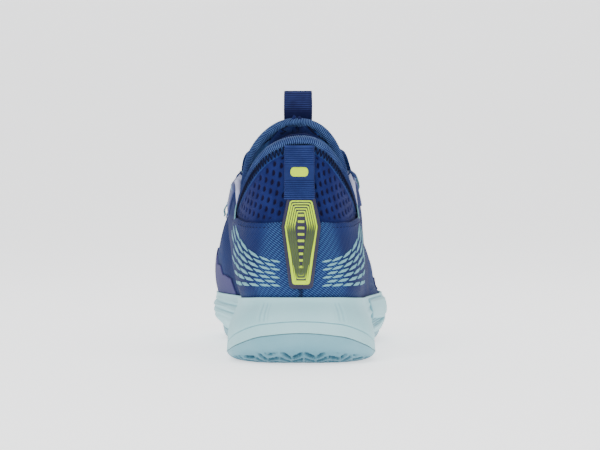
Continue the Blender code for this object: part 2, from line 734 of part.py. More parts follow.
def make_binding():
    """The ribbed binding all round the collar's rim."""
    ts = np.concatenate([np.arange(0, TONGUE_TOP, STEP), np.arange(AROUND - TONGUE_TOP, AROUND, STEP)])
    rim = FORM.at(ts, 1.0)
    along = np.roll(rim, -1, 0) - np.roll(rim, 1, 0)
    along /= np.linalg.norm(along, axis=1, keepdims=True)
    normal = FORM.normal(ts, 1.0)
    normal -= along * (normal * along).sum(1, keepdims=True)
    normal /= np.linalg.norm(normal, axis=1, keepdims=True)
    away = np.cross(normal, along)
    depth = lining_depth(ts, 1.0)[:, None] + SOCK_THICKNESS
    middle = rim - normal * (depth / 2 - 0.2) - away * 1.2
    rings = []
    for k in range(8):
        a = math.radians(45 * k + 22.5)
        rings.append(middle + normal * (depth / 2 + 0.9) * math.cos(a) + away * 4.2 * math.sin(a))
    points, faces = skin(rings + rings[:1])
    first, _, faces = weld(points, faces)
    add("collar_binding", points[first], faces, BLUE, 0.9)


# ---------------------------------------------------------------- lacing


def below_edge(t, distance):
    """v at a distance below the shell's edge, measured along the profile."""
    t = np.asarray(t, float)
    v = shell_edge(t)
    speed = np.linalg.norm(SHELL.at(t, v) - SHELL.at(t, v - 0.1), axis=-1) / 0.1
    return v - distance / speed


STAY_EDGES, FACING_EDGES = (13.0, 0.4), (15.0, 0.6)  # how far below the shell's edge each piece ends


def make_eyestays():
    outer = SHELL_THICKNESS + 2 * GAP
    for name, strips in zip(("lateral", "medial"), zip(both_sides(6.4, 12.2), both_sides(5.9, 7.2))):
        stay, facing = strips
        low, high = (partial(below_edge, distance=d) for d in STAY_EDGES)
        solid = SHELL.layer([stay], low, high, outer + 0.8, outer)
        add(f"{name}_eyestay", *solid, NAVY, 0.6)
        low, high = (partial(below_edge, distance=d) for d in FACING_EDGES)
        solid = SHELL.layer([facing], low, high, -2 * GAP, -1.5)
        add(f"{name}_flap_facing", *solid, WHITE, 0.9)


def on_side(h, medial):
    return AROUND - h if medial else h


def across_edge(t):
    """The direction from the eyestay over the throat's edge."""
    v = below_edge(t, 7.0)
    d = SHELL.at(t, v + 0.05) - SHELL.at(t, v - 0.05)
    return d / np.linalg.norm(d)


def on_eyestay(h, medial, beside, lift):
    """A point of the lace on the eyestay, beside mm from the throat's edge, and which way is up there."""
    t = on_side(h, medial)
    v = below_edge(t, beside)
    normal = SHELL.normal(t, v)
    return SHELL.at(t, v) + normal * lift, normal


def over_tongue(h, medial, share, lift):
    """A point over the tongue, from the throat's edge (share 0) to the ridge (share 1)."""
    t = on_side(max(h, COVER_START + 0.4 * share), medial)
    v = shell_edge(t) + (1 - shell_edge(t)) * share
    normal = FORM.normal(t, v)
    edge_lift = SHELL.at(t, shell_edge(t)) - FORM.at(t, shell_edge(t))
    return FORM.at(t, v) + normal * lift + edge_lift * (1 - share) ** 2, normal


def crossing(row, medial):
    """The lace from one side's loop up to the next row's on the other side, the medial branch on top."""
    start, stop = LACE_STATIONS[row] - LOOP_REACH, LACE_STATIONS[row + 1] + LOOP_REACH
    over = 2.0 if medial else 0.0
    points, far = [], []
    for share, lift in ((0.05, 4.6 + over / 2), (0.5, 3.6 + over)):
        along = (stop - start) * share / 2
        points.append(over_tongue(start + along, medial, share, lift))
        far.append(over_tongue(stop - along, not medial, share, lift))
    return points + [over_tongue((start + stop) / 2, medial, 1.0, 2.8 + over)] + far[::-1]


def through_loop(row, medial):
    h = LACE_STATIONS[row]
    return [on_eyestay(h + d, medial, LACE_BESIDE, LACE_LIFT) for d in (LOOP_REACH, -LOOP_REACH)]


def tucked_end(medial):
    """From the top loop over the flap's edge and down between the flap and the sock."""
    h = LACE_STATIONS[-1] - 0.62
    t = on_side(h, medial)
    over = across_edge(t)
    points = [on_eyestay(h + 0.14, medial, 3.0, LACE_LIFT + 0.4)]
    for lift, beyond in ((2.8, 3.4), (-2.6, 2.6)):
        edge, normal = on_eyestay(h, medial, 0, lift)
        points.append((edge + over * beyond, over + normal * lift / 4))
    for below in (4.0, 9.0, 14.0):
        v = below_edge(t, below)
        middle = (SHELL.at(t, v) + FORM.at(t, v, -0.6)) / 2
        points.append((middle, -SHELL.normal(t, v)))
    return points


def lace_branch(medial):
    """The lace from the bottom row's loop on one side to its tucked end."""
    route = through_loop(0, medial)
    for row in range(len(LACE_STATIONS) - 1):
        route += crossing(row, medial)
        medial = not medial
        route += through_loop(row + 1, medial)
    return route + tucked_end(medial)


def lace_route():
    """The lace from one end to the other, with a straight bar between the bottom row's loops."""
    h = LACE_STATIONS[0] + LOOP_REACH + 0.1
    bar = [over_tongue(h, True, s, lift) for s, lift in ((0.1, 4.2), (0.6, 3.4))]
    bar += [over_tongue(h, False, s, lift) for s, lift in ((1.0, 3.0), (0.6, 3.4), (0.1, 4.2))]
    return lace_branch(True)[::-1] + bar + lace_branch(False)


def ribbon(points, ups, width, thickness):
    """A flat band along points, with its face turned to ups."""
    along = np.gradient(points, axis=0)
    along /= np.linalg.norm(along, axis=1, keepdims=True)
    up = ups - along * (ups * along).sum(1, keepdims=True)
    up /= np.linalg.norm(up, axis=1, keepdims=True)
    across = np.cross(along, up)
    corners = [(0.5, 0), (0.38, 0.5), (-0.38, 0.5), (-0.5, 0), (-0.38, -0.5), (0.38, -0.5)]
    count = len(points)
    rings = np.concatenate([points + across * width * a + up * thickness * b for a, b in corners])
    faces = []
    for k in range(6):
        n = (k + 1) % 6
        here, there = k * count, n * count
        faces += [(here + i, here + i + 1, there + i + 1, there + i) for i in range(count - 1)]
    faces += [tuple(k * count for k in range(6)), tuple((k + 1) * count - 1 for k in reversed(range(6)))]
    return rings, faces


def make_lace():
    points, ups = (np.array(list(part)) for part in zip(*lace_route()))
    add("lace", *ribbon(points, ups, LACE_WIDTH, LACE_THICKNESS), NAVY, 0.9)
    for name, end, before, up in (
        ("lateral_aglet", points[0], points[1], ups[0]),
        ("medial_aglet", points[-1], points[-2], ups[-1]),
    ):
        along = (end - before) / np.linalg.norm(end - before)
        stations = np.array([end + along * (GAP + AGLET_LENGTH * k / 2) for k in range(3)])
        add(name, *ribbon(stations, np.array([up] * 3), 3.4, 1.6), AQUA, 0.3)


def make_lace_loops():
    """Webbing loops sewn on the eyestays, which the lace runs through."""
    outer = [(-6.4, 0), (-5.6, 3.4), (-2.6, 4.3), (2.6, 4.3), (5.6, 3.4), (6.4, 0)]
    inner = [(5.4, 0), (4.8, 2.8), (2.4, 3.4), (-2.4, 3.4), (-4.8, 2.8), (-5.4, 0)]
    for medial in (False, True):
        for row, h in enumerate(LACE_STATIONS):
            rings = []
            for end in (-LOOP_HALF, LOOP_HALF):
                centre, normal = on_eyestay(h + end, medial, LACE_BESIDE, SHELL_THICKNESS + 2 * GAP + 1.0)
                across = across_edge(on_side(h, medial))
                rings.append(np.array([centre + across * a + normal * b for a, b in outer + inner]))
            points, faces = skin(rings)
            faces += arch_caps(len(rings[0]))
            name = f"{'medial' if medial else 'lateral'}_lace_loop_{row + 1}"
            add(name, points, faces, AQUA, 0.8)


def arch_caps(count):
    """Faces that close the ends of an extruded arch whose second half of points runs back inside it."""
    faces = []
    for k in range(count // 2 - 1):
        cap = (k, k + 1, count - 2 - k, count - 1 - k)
        faces += [tuple(reversed(cap)), tuple(i + count for i in cap)]
    return faces


# ---------------------------------------------------------------- heel and tongue trim


def heel_point(x, z, lift):
    """A point lift mm behind the form's back at that x and height."""
    t = np.asarray(x, float) / 22
    z = np.broadcast_to(np.asarray(z, float), t.shape)
    for _ in range(8):
        low, high = np.zeros(t.shape), np.ones(t.shape)
        for _ in range(18):
            middle = (low + high) / 2
            below = FORM.at(t, middle)[..., 2] < z
            low, high = np.where(below, middle, low), np.where(below, high, middle)
        t = t + (x - FORM.at(t, low)[..., 0]) / 20
    return FORM.at(t, low, np.full(t.shape, lift))


def heel_patch(name, outline, middle, low, high, colour, roughness):
    """A patch on the back of the heel between two lifts. outline holds heights and the half widths there."""
    x = np.array([[middle + half_width * c for c in ACROSS] for _, half_width in outline])
    z = np.array([[height] * len(ACROSS) for height, _ in outline])
    outer, inner = heel_point(x, z, high), heel_point(x, z, low)
    faces = [tuple(reversed(f)) for f in grid_faces(len(outline), len(ACROSS))]
    return add(name, *closed(outer.reshape(-1, 3), inner.reshape(-1, 3), faces), colour, roughness)


ACROSS = (-1, -0.5, 0, 0.5, 1)
TAB_HALF_WIDTH = 7.8
TAB_MIDDLE = -1.3


def make_heel_trim():
    tab = [(z, TAB_HALF_WIDTH) for z in (90, 95, 101, 107, 113, 117.5)]
    heel_patch("heel_pull_tab", tab, TAB_MIDDLE, 1.9, 3.1, BLUE, 0.8)
    low = SHELL_THICKNESS + 3 * GAP
    badge = [(42, 6.6), (44, 7.8), (52, 8.6), (62, 9.6), (71, 10.4), (80, 9.0), (87.5, 7.9), (89.2, 7.0)]
    heel_patch("heel_badge", badge, 0, low, low + 1.2, NAVY, 0.4)
    emblem = [(100, 3.6), (101.1, 4.6), (102.7, 5.0), (104.3, 4.6), (105.4, 3.6)]
    heel_patch("tab_emblem", emblem, TAB_MIDDLE, 3.1 + GAP, 3.1 + GAP + 0.6, LIME, 0.4)


LOOP_BASE = (-1.8, -27.6, 132.4)
LOOP_HEIGHT, LOOP_HALF_WIDTH = 20.6, 8.1
LOOP_PROFILE = [(0, 0.4), (0.2, 2.0), (0.45, 3.0), (0.8, 2.8), (0.95, 1.6)]  # share of height, half gap


def make_pull_loop():
    """The webbing loop that stands up from the tongue, pinched together at its foot."""
    profile = [(gap, share * LOOP_HEIGHT) for share, gap in LOOP_PROFILE]
    back = profile[::-1]
    outer = [(y + 1.2, z) for y, z in profile] + [(0, LOOP_HEIGHT + 0.4)] + [(-y - 1.2, z) for y, z in back]
    inner = [(-y, z + 0.2) for y, z in profile] + [(0, LOOP_HEIGHT - 0.8)] + [(y, z + 0.2) for y, z in back]
    base = np.array(LOOP_BASE)
    section = [base + np.array([0, y, z]) for y, z in outer + inner]
    rings = [np.array(section) + np.array([x, 0, 0]) for x in (-LOOP_HALF_WIDTH, LOOP_HALF_WIDTH)]
    points, faces = skin(rings)
    add("tongue_pull_loop", points, faces + arch_caps(len(section)), NAVY, 0.85, LOOP_BASE)


def main():
    for leftover in list(bpy.data.objects):
        bpy.data.objects.remove(leftover)
    make_outsole()
    make_shank(make_midsole())
    make_board("strobel_board", 2.7, GAP, 1.3, WHITE)
    make_board("insole", 6.8, 1.3 + GAP, 5.0, BLUE, cupped=2.0)
    make_outrigger()
    make_shell()
    make_sock()
    make_collar()
    make_tongue()
    make_toe_puff()
    make_toe_guard()
    make_drag_guard()
    make_binding()
    make_eyestays()
    make_lace()
    make_lace_loops()
    make_heel_trim()
    make_pull_loop()


main()
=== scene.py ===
"""The looks of the right-foot court shoe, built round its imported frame.

Two smooth surfaces carry every piece: the form of the foot-shaped sock, and the sole's side wall. Their
tables are the part's, shaped further after the photo. Lengths are millimetres, with x from the heel's centre
line, and become metres in the frame when a mesh is built.
"""

import math

import bmesh
import bpy
import numpy as np
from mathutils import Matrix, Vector


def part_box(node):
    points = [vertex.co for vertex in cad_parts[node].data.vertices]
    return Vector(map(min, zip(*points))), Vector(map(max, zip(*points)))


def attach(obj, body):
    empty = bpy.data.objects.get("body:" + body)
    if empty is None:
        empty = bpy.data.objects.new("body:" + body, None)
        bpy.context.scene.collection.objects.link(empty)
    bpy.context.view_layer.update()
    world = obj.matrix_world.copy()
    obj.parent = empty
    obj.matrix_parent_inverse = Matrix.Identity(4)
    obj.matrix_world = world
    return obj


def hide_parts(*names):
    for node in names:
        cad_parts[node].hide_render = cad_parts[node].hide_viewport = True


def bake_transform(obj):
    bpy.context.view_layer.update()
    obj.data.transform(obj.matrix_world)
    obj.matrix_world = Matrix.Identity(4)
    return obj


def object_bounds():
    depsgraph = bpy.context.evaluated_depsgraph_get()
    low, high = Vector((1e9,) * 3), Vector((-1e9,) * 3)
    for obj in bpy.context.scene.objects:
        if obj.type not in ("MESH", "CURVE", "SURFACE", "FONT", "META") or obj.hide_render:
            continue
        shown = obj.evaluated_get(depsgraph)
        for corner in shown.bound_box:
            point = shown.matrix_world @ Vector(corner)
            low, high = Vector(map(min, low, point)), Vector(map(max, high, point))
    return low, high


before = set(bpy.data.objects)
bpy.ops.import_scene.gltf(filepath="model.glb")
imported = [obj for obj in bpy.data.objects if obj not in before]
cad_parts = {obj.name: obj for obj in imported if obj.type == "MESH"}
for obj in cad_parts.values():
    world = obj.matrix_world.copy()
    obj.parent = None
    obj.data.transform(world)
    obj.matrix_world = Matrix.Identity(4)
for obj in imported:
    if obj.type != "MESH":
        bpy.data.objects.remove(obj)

CAD_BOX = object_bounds()
MM = 0.001
badge_low, badge_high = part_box("heel_badge")
ORIGIN_X = (badge_low.x + badge_high.x) / 2 / MM  # the badge sits on the heel's centre line

TOE = 19  # station at the toe; the heel is station 0
AROUND = 2 * TOE
GAP = 0.3
WELD = 1e-3  # points this close are one

# Station table, heel to toe: y, lateral x, medial x, and the five columns named here.
BITE_INSET, BITE_Z, WIDEST_Z, LINE_Z, GROUND_INSET = range(3, 8)
SOLE = [
    (-150, 0, 0, 8.0, 36.2, 23.8, 17.6, 25),
    (-144, 20.5, -20.5, 8.2, 36.0, 22, 15.5, 21),
    (-129, 34.5, -34.5, 8.8, 35.2, 16.5, 10, 14),
    (-107, 40.6, -40.6, 9.2, 34.2, 10.5, 5.2, 9),
    (-84, 40.8, -40.4, 8.8, 33.0, 10, 4.8, 8.5),
    (-68, 40, -38, 7.8, 32, 10, 4.8, 8.5),
    (-55, 39.4, -36.2, 7, 31.4, 10.5, 4.8, 8.5),
    (-44, 39.4, -35.2, 6.4, 30.8, 11, 5, 8.5),
    (-34, 39.8, -34.8, 6, 30.4, 11.5, 5, 8.5),
    (-24, 40.6, -35.4, 5.6, 30, 12, 5.2, 8.5),
    (-4, 43.5, -38.5, 5, 30, 13, 5.6, 8.5),
    (18, 48, -45.5, 4.6, 30, 14, 6.2, 8.5),
    (40, 52, -52.5, 4.3, 30, 15, 7, 9),
    (62, 53.4, -56, 4.2, 30, 15, 8, 9),
    (84, 51.6, -55.6, 4.2, 30, 16, 9.5, 9),
    (104, 48.2, -52.6, 4.6, 30.2, 17, 11.5, 10),
    (122, 41, -45, 5.2, 30.8, 19, 14, 11),
    (136, 30.5, -34.5, 5.8, 31.6, 21, 16.5, 12),
    (146, 16, -20.5, 6.2, 32.4, 22.5, 18, 13),
    (150, -3, -3, 6.4, 32.6, 23, 18.5, 13),
]
# Collar rim at stations 0 to 9: lateral x, medial x, y, z. Its front, at station 9, is the top of the tongue.
RIM = [
    (0, 0, -143, 119.5),
    (13, -15.5, -139.5, 116),
    (21.5, -26, -127, 106),
    (28, -32.5, -106, 93),
    (30.8, -35.5, -84, 84),
    (30.8, -35, -68, 86),
    (27.6, -33.8, -54, 98.5),
    (22.6, -29.6, -45, 115.4),
    (12.2, -17.0, -38.5, 130.6),
    (-2.4, -2.4, -36, 134.8),
]
TONGUE_TOP = len(RIM) - 1
# Ridge over the instep and toes at stations 9 to 19: y, z.
RIDGE = [
    (-36, 134.8), (-14, 113.5), (12, 97), (36, 82), (57, 71), (76, 65),
    (92, 60.5), (105, 57), (114, 53.5), (119, 51), (121, 50),
]
# How each profile bulges at stations 0 to 19: outwards and up at the bite line, outwards and down at the top.
BULGE = [
    (9, 26, -14, 24), (8, 26, -10, 24), (7, 24, -2, 22), (6, 20, 3, 18), (7, 15, 4, 14),
    (9, 16, 6, 14), (11, 20, 8, 18), (11, 22, 10, 24), (11, 24, 17, 14), (11, 24, 21, 0),
    (9, 22, 23, 0), (7, 20, 25, 0), (5, 18, 26, 0), (3, 16, 28, 0), (3, 15, 27, 0),
    (3, 14, 23, 0), (3, 12, 18, 0), (3, 11, 12, 0), (3, 11, 8, 0), (3, 10, 8, 0),
]
# How much further each side bulges halfway up, at some stations: station, lateral, medial.
SIDE_BULGE = [
    (0, 0, 0), (4, -1, 0.5), (6, -3, 1), (9, -2, 2.5), (10, 0, 6.5), (11, 0.7, 15), (12, 1, 13), (13, 1, 9),
    (15, 0, 3), (TOE, 0, 0),
]
# How much the lateral side draws in just above the bite line, at some stations.
LOW_TUCK = [(0, 0), (9, 0), (11, 3.2), (13, 3.6), (15, 2.0), (17, 0), (TOE, 0)]
TUCK_PEAK = 0.049  # the highest value of s * (1 - s) ** 7, which shapes that tuck
RIDGE_DRIFT = -3.0  # the ridge leans this far to the medial side by the toe
# Upper edge of the woven shell, as v at each station.
SHELL_EDGE = [
    (0, 0.47), (1, 0.485), (2, 0.56), (3, 0.73), (4, 0.90), (5, 0.94), (6, 0.93), (7, 0.80),
    (8, 0.67), (9, 0.61), (10, 0.63), (11, 0.69), (12, 0.79), (12.6, 0.91), (13, 1.0), (TOE, 1.0),
]
# Height of the footbed along the foot: y, z.
FOOTBED = [(-150, 23.5), (-110, 22.5), (-60, 22), (0, 18), (50, 15), (80, 15.5), (110, 18), (150, 25)]
TOE_SPRING, SPRING_START = 12.0, 70.0
OUTSOLE_THICKNESS = 4.0
WIDEST_W = 0.62  # where the side wall is widest, and where the midsole's parting groove runs
SHELL_THICKNESS = 1.2
SOCK_THICKNESS = 1.1
COVER_START = 9.4  # the lace crosses the tongue no nearer to the collar than this station
FLARE = (3.0, 2.4)  # how far the tops of the lateral and medial lace flaps stand off the sock


# ---------------------------------------------------------------- curves


def unit(vectors):
    return vectors / (np.linalg.norm(vectors, axis=-1, keepdims=True) + 1e-12)


def lattice(a, b):
    """Every pair of a value from a and one from b, as two grids."""
    return np.meshgrid(a, b, indexing="ij")


def travelled(line):
    """The distance along a line from its start to each of its points."""
    return np.concatenate([[0], np.cumsum(np.linalg.norm(np.diff(line, axis=0), axis=1))])


def read_at(want, far, values):
    """Rows of values, given at the distances in far, read at the wanted distances."""
    return np.stack([np.interp(want, far, column) for column in values.T], 1)


def hermite(s, start, end, slope, end_slope):
    """The smooth path from start to end while s goes from 0 to 1."""
    rise = 3 * s**2 - 2 * s**3
    return start * (1 - rise) + end * rise + slope * s * (1 - s) ** 2 - end_slope * s**2 * (1 - s)


def closed_spline(points):
    """A smooth closed curve through points at parameters 0, 1, 2 and so on, as a function of an array."""
    p = np.array(points, float)
    n = len(p)
    system = 4 * np.eye(n) + np.roll(np.eye(n), 1, 0) + np.roll(np.eye(n), -1, 0)
    slope = np.linalg.solve(system, 3 * (np.roll(p, -1, 0) - np.roll(p, 1, 0)))

    def at(t):
        t = np.mod(np.asarray(t, float), n)
        i = np.minimum(t.astype(int), n - 1)
        j = (i + 1) % n
        return hermite((t - i)[..., None], p[i], p[j], slope[i], slope[j])

    return at


def spline(points, count):
    """count points spread evenly along a smooth open curve through the given ones."""
    p = np.asarray(points, float)
    n = len(p)
    system = 4 * np.eye(n) + np.eye(n, k=1) + np.eye(n, k=-1)
    system[0, 0] = system[-1, -1] = 2
    right = np.zeros_like(p)
    right[1:-1] = 3 * (p[2:] - p[:-2])
    right[0], right[-1] = 3 * (p[1] - p[0]), 3 * (p[-1] - p[-2])
    slope = np.linalg.solve(system, right)
    x = np.linspace(0, n - 1, 12 * n)
    i = np.minimum(x.astype(int), n - 2)
    fine = hermite((x - i)[:, None], p[i], p[i + 1], slope[i], slope[i + 1])
    far = travelled(fine)
    return read_at(np.linspace(0, far[-1], count), far, fine)


def smooth(xs, ys, x):
    """ys at x, between the given points with no overshoot, and level at both ends."""
    xs, ys, x = (np.asarray(values, float) for values in (xs, ys, x))
    step = np.diff(xs)
    slope = np.diff(ys) / step
    before, after = slope[:-1], slope[1:]
    inner = np.where(before * after > 0, 2 * before * after / (before + after + 1e-12), 0)
    slopes = np.concatenate([[0], inner, [0]])
    x = np.clip(x, xs[0], xs[-1])
    i = np.clip(np.searchsorted(xs, x) - 1, 0, len(step) - 1)
    s = (x - xs[i]) / step[i]
    return hermite(s, ys[i], ys[i + 1], step[i] * slopes[i], step[i] * slopes[i + 1])


def ramp(low, high, x):
    """0 below low, 1 above high and smooth between. With high below low it falls instead."""
    s = np.clip((np.asarray(x, float) - low) / (high - low), 0, 1)
    return s * s * (3 - 2 * s)


def half(t):
    """The station, 0 at the heel and 19 at the toe, on either side."""
    t = np.mod(np.asarray(t, float), AROUND)
    return np.minimum(t, AROUND - t)


def side(t):
    """+1 on the lateral side and -1 on the medial side."""
    return np.where(np.mod(np.asarray(t, float), AROUND) <= TOE, 1.0, -1.0)


OUTLINE = closed_spline(
    [(row[1], row[0]) for row in SOLE] + [(row[2], row[0]) for row in SOLE[TOE - 1 : 0 : -1]]
)
RIM_CURVE = closed_spline(
    [(row[0], *row[2:]) for row in RIM] + [row[1:] for row in RIM[TONGUE_TOP - 1 : 0 : -1]]
)
STATIONS = np.arange(TOE + 1)


def sole_value(column, t):
    """A column of the SOLE table at t."""
    return smooth(STATIONS, [row[column] for row in SOLE], half(t))


def outward(t):
    """The horizontal direction that points out of the sole's edge, as x, y, 0."""
    t = np.asarray(t, float)
    d = unit(OUTLINE(t + 0.01) - OUTLINE(t - 0.01))
    return np.stack([d[..., 1], -d[..., 0], np.zeros_like(d[..., 0])], -1)


def inset_point(t, inset, z):
    """A point inset from the sole's edge, at height z."""
    edge = OUTLINE(t) - outward(t)[..., :2] * np.asarray(inset, float)[..., None]
    return np.concatenate([edge, np.broadcast_to(np.asarray(z, float)[..., None], edge[..., :1].shape)], -1)


def footbed(y):
    return smooth(*zip(*FOOTBED), y)


def ground(y):
    """The underside's height: flat, then rising under the toes."""
    toe = SOLE[-1][0]
    return TOE_SPRING * np.clip((np.asarray(y, float) - SPRING_START) / (toe - SPRING_START), 0, None) ** 2


def ridge(h):
    """Ridge point at station h, from the tongue's top to the toe."""
    where = np.arange(TONGUE_TOP, TOE + 1)
    y = smooth(where, [p[0] for p in RIDGE], h)
    z = smooth([p[0] for p in RIDGE], [p[1] for p in RIDGE], y)
    x = RIM[-1][0] + (RIDGE_DRIFT - RIM[-1][0]) * np.clip((h - TONGUE_TOP) / (TOE - TONGUE_TOP), 0, 1)
    return np.stack([x, y, z], -1)


def top(t):
    """Where the profile at t ends: on the collar's rim or on the ridge."""
    h = half(t)
    on_rim = RIM_CURVE(np.where(side(t) > 0, np.minimum(h, TONGUE_TOP), -np.minimum(h, TONGUE_TOP)))
    return np.where((h <= TONGUE_TOP)[..., None], on_rim, ridge(h))


def form(t, v):
    """The outside of the foot-shaped sock. v is -1 on the tucked edge, 0 at the bite line, 1 at the top."""
    t, v = np.broadcast_arrays(np.asarray(t, float), np.asarray(v, float))
    h, out, up = half(t), outward(t), np.array([0.0, 0.0, 1.0])
    inset = sole_value(BITE_INSET, t)
    bite = inset_point(t, inset, sole_value(BITE_Z, t))
    tuck = inset_point(t, inset + 2.5, 0 * inset)
    tuck[..., 2] = footbed(tuck[..., 1]) + 2
    out1, up1, out2, down2 = (smooth(STATIONS, [row[i] for row in BULGE], h)[..., None] for i in range(4))
    end = top(t)
    before, after = ridge(np.clip(h - 0.2, TONGUE_TOP, TOE)), ridge(np.clip(h + 0.2, TONGUE_TOP, TOE))
    fall = np.where(h > TONGUE_TOP, (before - after)[..., 2] / ((after - before)[..., 1] + 1e-9), 0)
    lean = out.copy()
    lean[..., 2] = -fall * out[..., 1]
    p1 = bite + out * out1 + up * up1
    p2 = end + lean * out2 - up * down2
    s = np.clip(v, 0, 1)[..., None]
    curve = bite * (1 - s) ** 3 + 3 * p1 * s * (1 - s) ** 2 + 3 * p2 * s**2 * (1 - s) + end * s**3
    where, lateral, medial = zip(*SIDE_BULGE)
    more = np.where(side(t) > 0, smooth(where, lateral, h), smooth(where, medial, h))[..., None]
    tuck_in = np.where(side(t) > 0, smooth(*zip(*LOW_TUCK), h), 0)[..., None]
    bump = np.sin(np.pi * np.where((side(t) > 0)[..., None], s, s**1.4))
    curve = curve + out * (more * bump - tuck_in * s * (1 - s) ** 7 / TUCK_PEAK)
    low = np.clip(-v, 0, 1)[..., None]
    return curve * (1 - low) + tuck * low


def shell_edge(t):
    return smooth(*zip(*SHELL_EDGE), half(t))


def flared_form(t, v):
    """The sock's surface with the lace flaps flared outwards, for the shell and what is sewn to it."""
    h = half(t)
    near_flap = ramp(4.6, 6.6, h) * ramp(11.5, 7.2, h)
    lift = np.where(side(t) > 0, *FLARE) * near_flap * ramp(0.30, 0.85, np.asarray(v, float) / shell_edge(t))
    return form(t, v) + outward(t) * lift[..., None]


def line_inset(t):
    """How far the wall's foot lies inside the outline: most on the medial forefoot."""
    h = half(t)
    forefoot = ramp(9.0, 11.5, h) * ramp(17.5, 15.5, h)
    return 0.8 - 1.1 * ramp(7, 5, h) + np.where(side(t) < 0, 4.6, 1.6) * forefoot


def wall(t, w):
    """The sole's side wall from the lip (w = 0) to the outsole line (w = 1)."""
    t, w = np.broadcast_arrays(np.asarray(t, float), np.asarray(w, float))
    bite_inset, bite, widest, line = (sole_value(i, t) for i in (BITE_INSET, BITE_Z, WIDEST_Z, LINE_Z))
    above, below = w / WIDEST_W, (w - WIDEST_W) / (1 - WIDEST_W)
    inset = (bite_inset - 3.2) * (1 - ramp(0, 1, above)) + line_inset(t) * ramp(0, 1, below)
    inset = inset - 0.9 * np.sin(np.pi * np.clip(above, 0, 1)) ** 2
    z = np.where(w < WIDEST_W, bite - 1 + (widest - bite + 1) * above, widest + (line - widest) * below)
    return inset_point(t, inset, z)


def lining_depth(t, v):
    """How far the sock's lining lies inside the form, making room for foam, counter and toe puff."""
    h, v = half(t), np.asarray(v, float)
    counter = 1.8 * ramp(6, 4.5, h)
    collar = 4.8 * ramp(6.0, 4.5, h) * ramp(0.35, 0.55, v)
    tongue = 4.1 * ramp(7.5, 8.5, h) * ramp(13.0, 12.0, h) * ramp(0.5, 0.7, v)
    puff = 1.6 * ramp(14.5, 15.5, h)
    return 0.6 + counter + collar + tongue + puff


def normal_of(surface, t, v):
    """The outward direction of a surface at t and v."""
    t, v = np.broadcast_arrays(np.asarray(t, float), np.asarray(v, float))
    step = 0.004
    across = surface(t + step, v) - surface(t - step, v)
    up = surface(t, np.minimum(v + step, 1)) - surface(t, v - step)
    return unit(np.cross(across, up))


def lifted(surface, t, v, lift):
    """Points at a lift above a surface, with its outward directions there."""
    normal = normal_of(surface, t, v)
    return surface(t, v) + normal * np.asarray(lift, float)[..., None], normal


ARC_T = np.linspace(0, TOE, 400)
ARC = {sign: travelled(form(sign * ARC_T, 0.3)) for sign in (1, -1)}


def arc_of(t):
    """Distance round the upper from the back of the heel, positive on the lateral side."""
    lateral, medial = (np.interp(half(t), ARC_T, ARC[sign]) for sign in (1, -1))
    return np.where(np.mod(t, AROUND) < TOE, lateral, -medial)


def station_at(arc):
    """The t at a signed distance round the upper from the back of the heel."""
    arc = np.asarray(arc, float)
    lateral = np.interp(np.abs(arc), ARC[1], ARC_T)
    medial = -np.interp(np.abs(arc), ARC[-1], ARC_T)
    return np.where(arc >= 0, lateral, medial)


def at_height(surface, t, z):
    """v where the surface reaches height z, at each t."""
    t, z = np.broadcast_arrays(np.asarray(t, float), np.asarray(z, float))
    low, high = np.zeros(t.shape), np.ones(t.shape)
    for _ in range(16):
        middle = (low + high) / 2
        below = surface(t, middle)[..., 2] < z
        low, high = np.where(below, middle, low), np.where(below, high, middle)
    return low


def at_place(x, z):
    """t and v where the back of the heel is at x and z. A station is about 20 mm long there."""
    x, z = np.broadcast_arrays(np.asarray(x, float), np.asarray(z, float))
    t = x / 22
    for _ in range(6):
        v = at_height(form, t, z)
        t = t + (x - form(t, v)[..., 0]) / 20
    return t, v


# ---------------------------------------------------------------- meshes


def grid_quads(rows, columns, wrap_rows=False, wrap_columns=False):
    """Quads over a grid of points stored row by row."""
    i, j = lattice(np.arange(rows - (not wrap_rows)), np.arange(columns - (not wrap_columns)))
    i, j = i.ravel(), j.ravel()
    below, beside = (i + 1) % rows, (j + 1) % columns
    return np.stack([i * columns + j, below * columns + j, below * columns + beside, i * columns + beside], 1)


def build(name, points, quads, material, coords=None, sharp=40):
    """A mesh object from points and quads, where a quad with a repeated corner is a triangle.

    coords holds, for each corner, the distances along and up the cloth and a mask.
    """
    quads = np.asarray(quads)
    keep = quads != np.roll(quads, 1, axis=1)
    good = keep.sum(1) >= 3
    keep, quads = keep[good], quads[good]
    loops = quads[keep]
    mesh = bpy.data.meshes.new(name)
    mesh.vertices.add(len(points))
    mesh.vertices.foreach_set("co", ((np.asarray(points) + [ORIGIN_X, 0, 0]) * MM).astype(np.float32).ravel())
    mesh.loops.add(len(loops))
    mesh.loops.foreach_set("vertex_index", loops.astype(np.int32))
    mesh.polygons.add(len(quads))
    corners = keep.sum(1)
    mesh.polygons.foreach_set("loop_start", (np.cumsum(corners) - corners).astype(np.int32))
    mesh.update(calc_edges=True)
    if coords is not None:
        attribute = mesh.attributes.new("cloth", "FLOAT_VECTOR", "CORNER")
        attribute.data.foreach_set("vector", np.asarray(coords)[good][keep].astype(np.float32).ravel())
    mesh.shade_smooth()
    mesh.set_sharp_from_angle(angle=math.radians(sharp))
    mesh.materials.append(material)
    made = bpy.data.objects.new(name, mesh)
    bpy.context.scene.collection.objects.link(made)
    return made


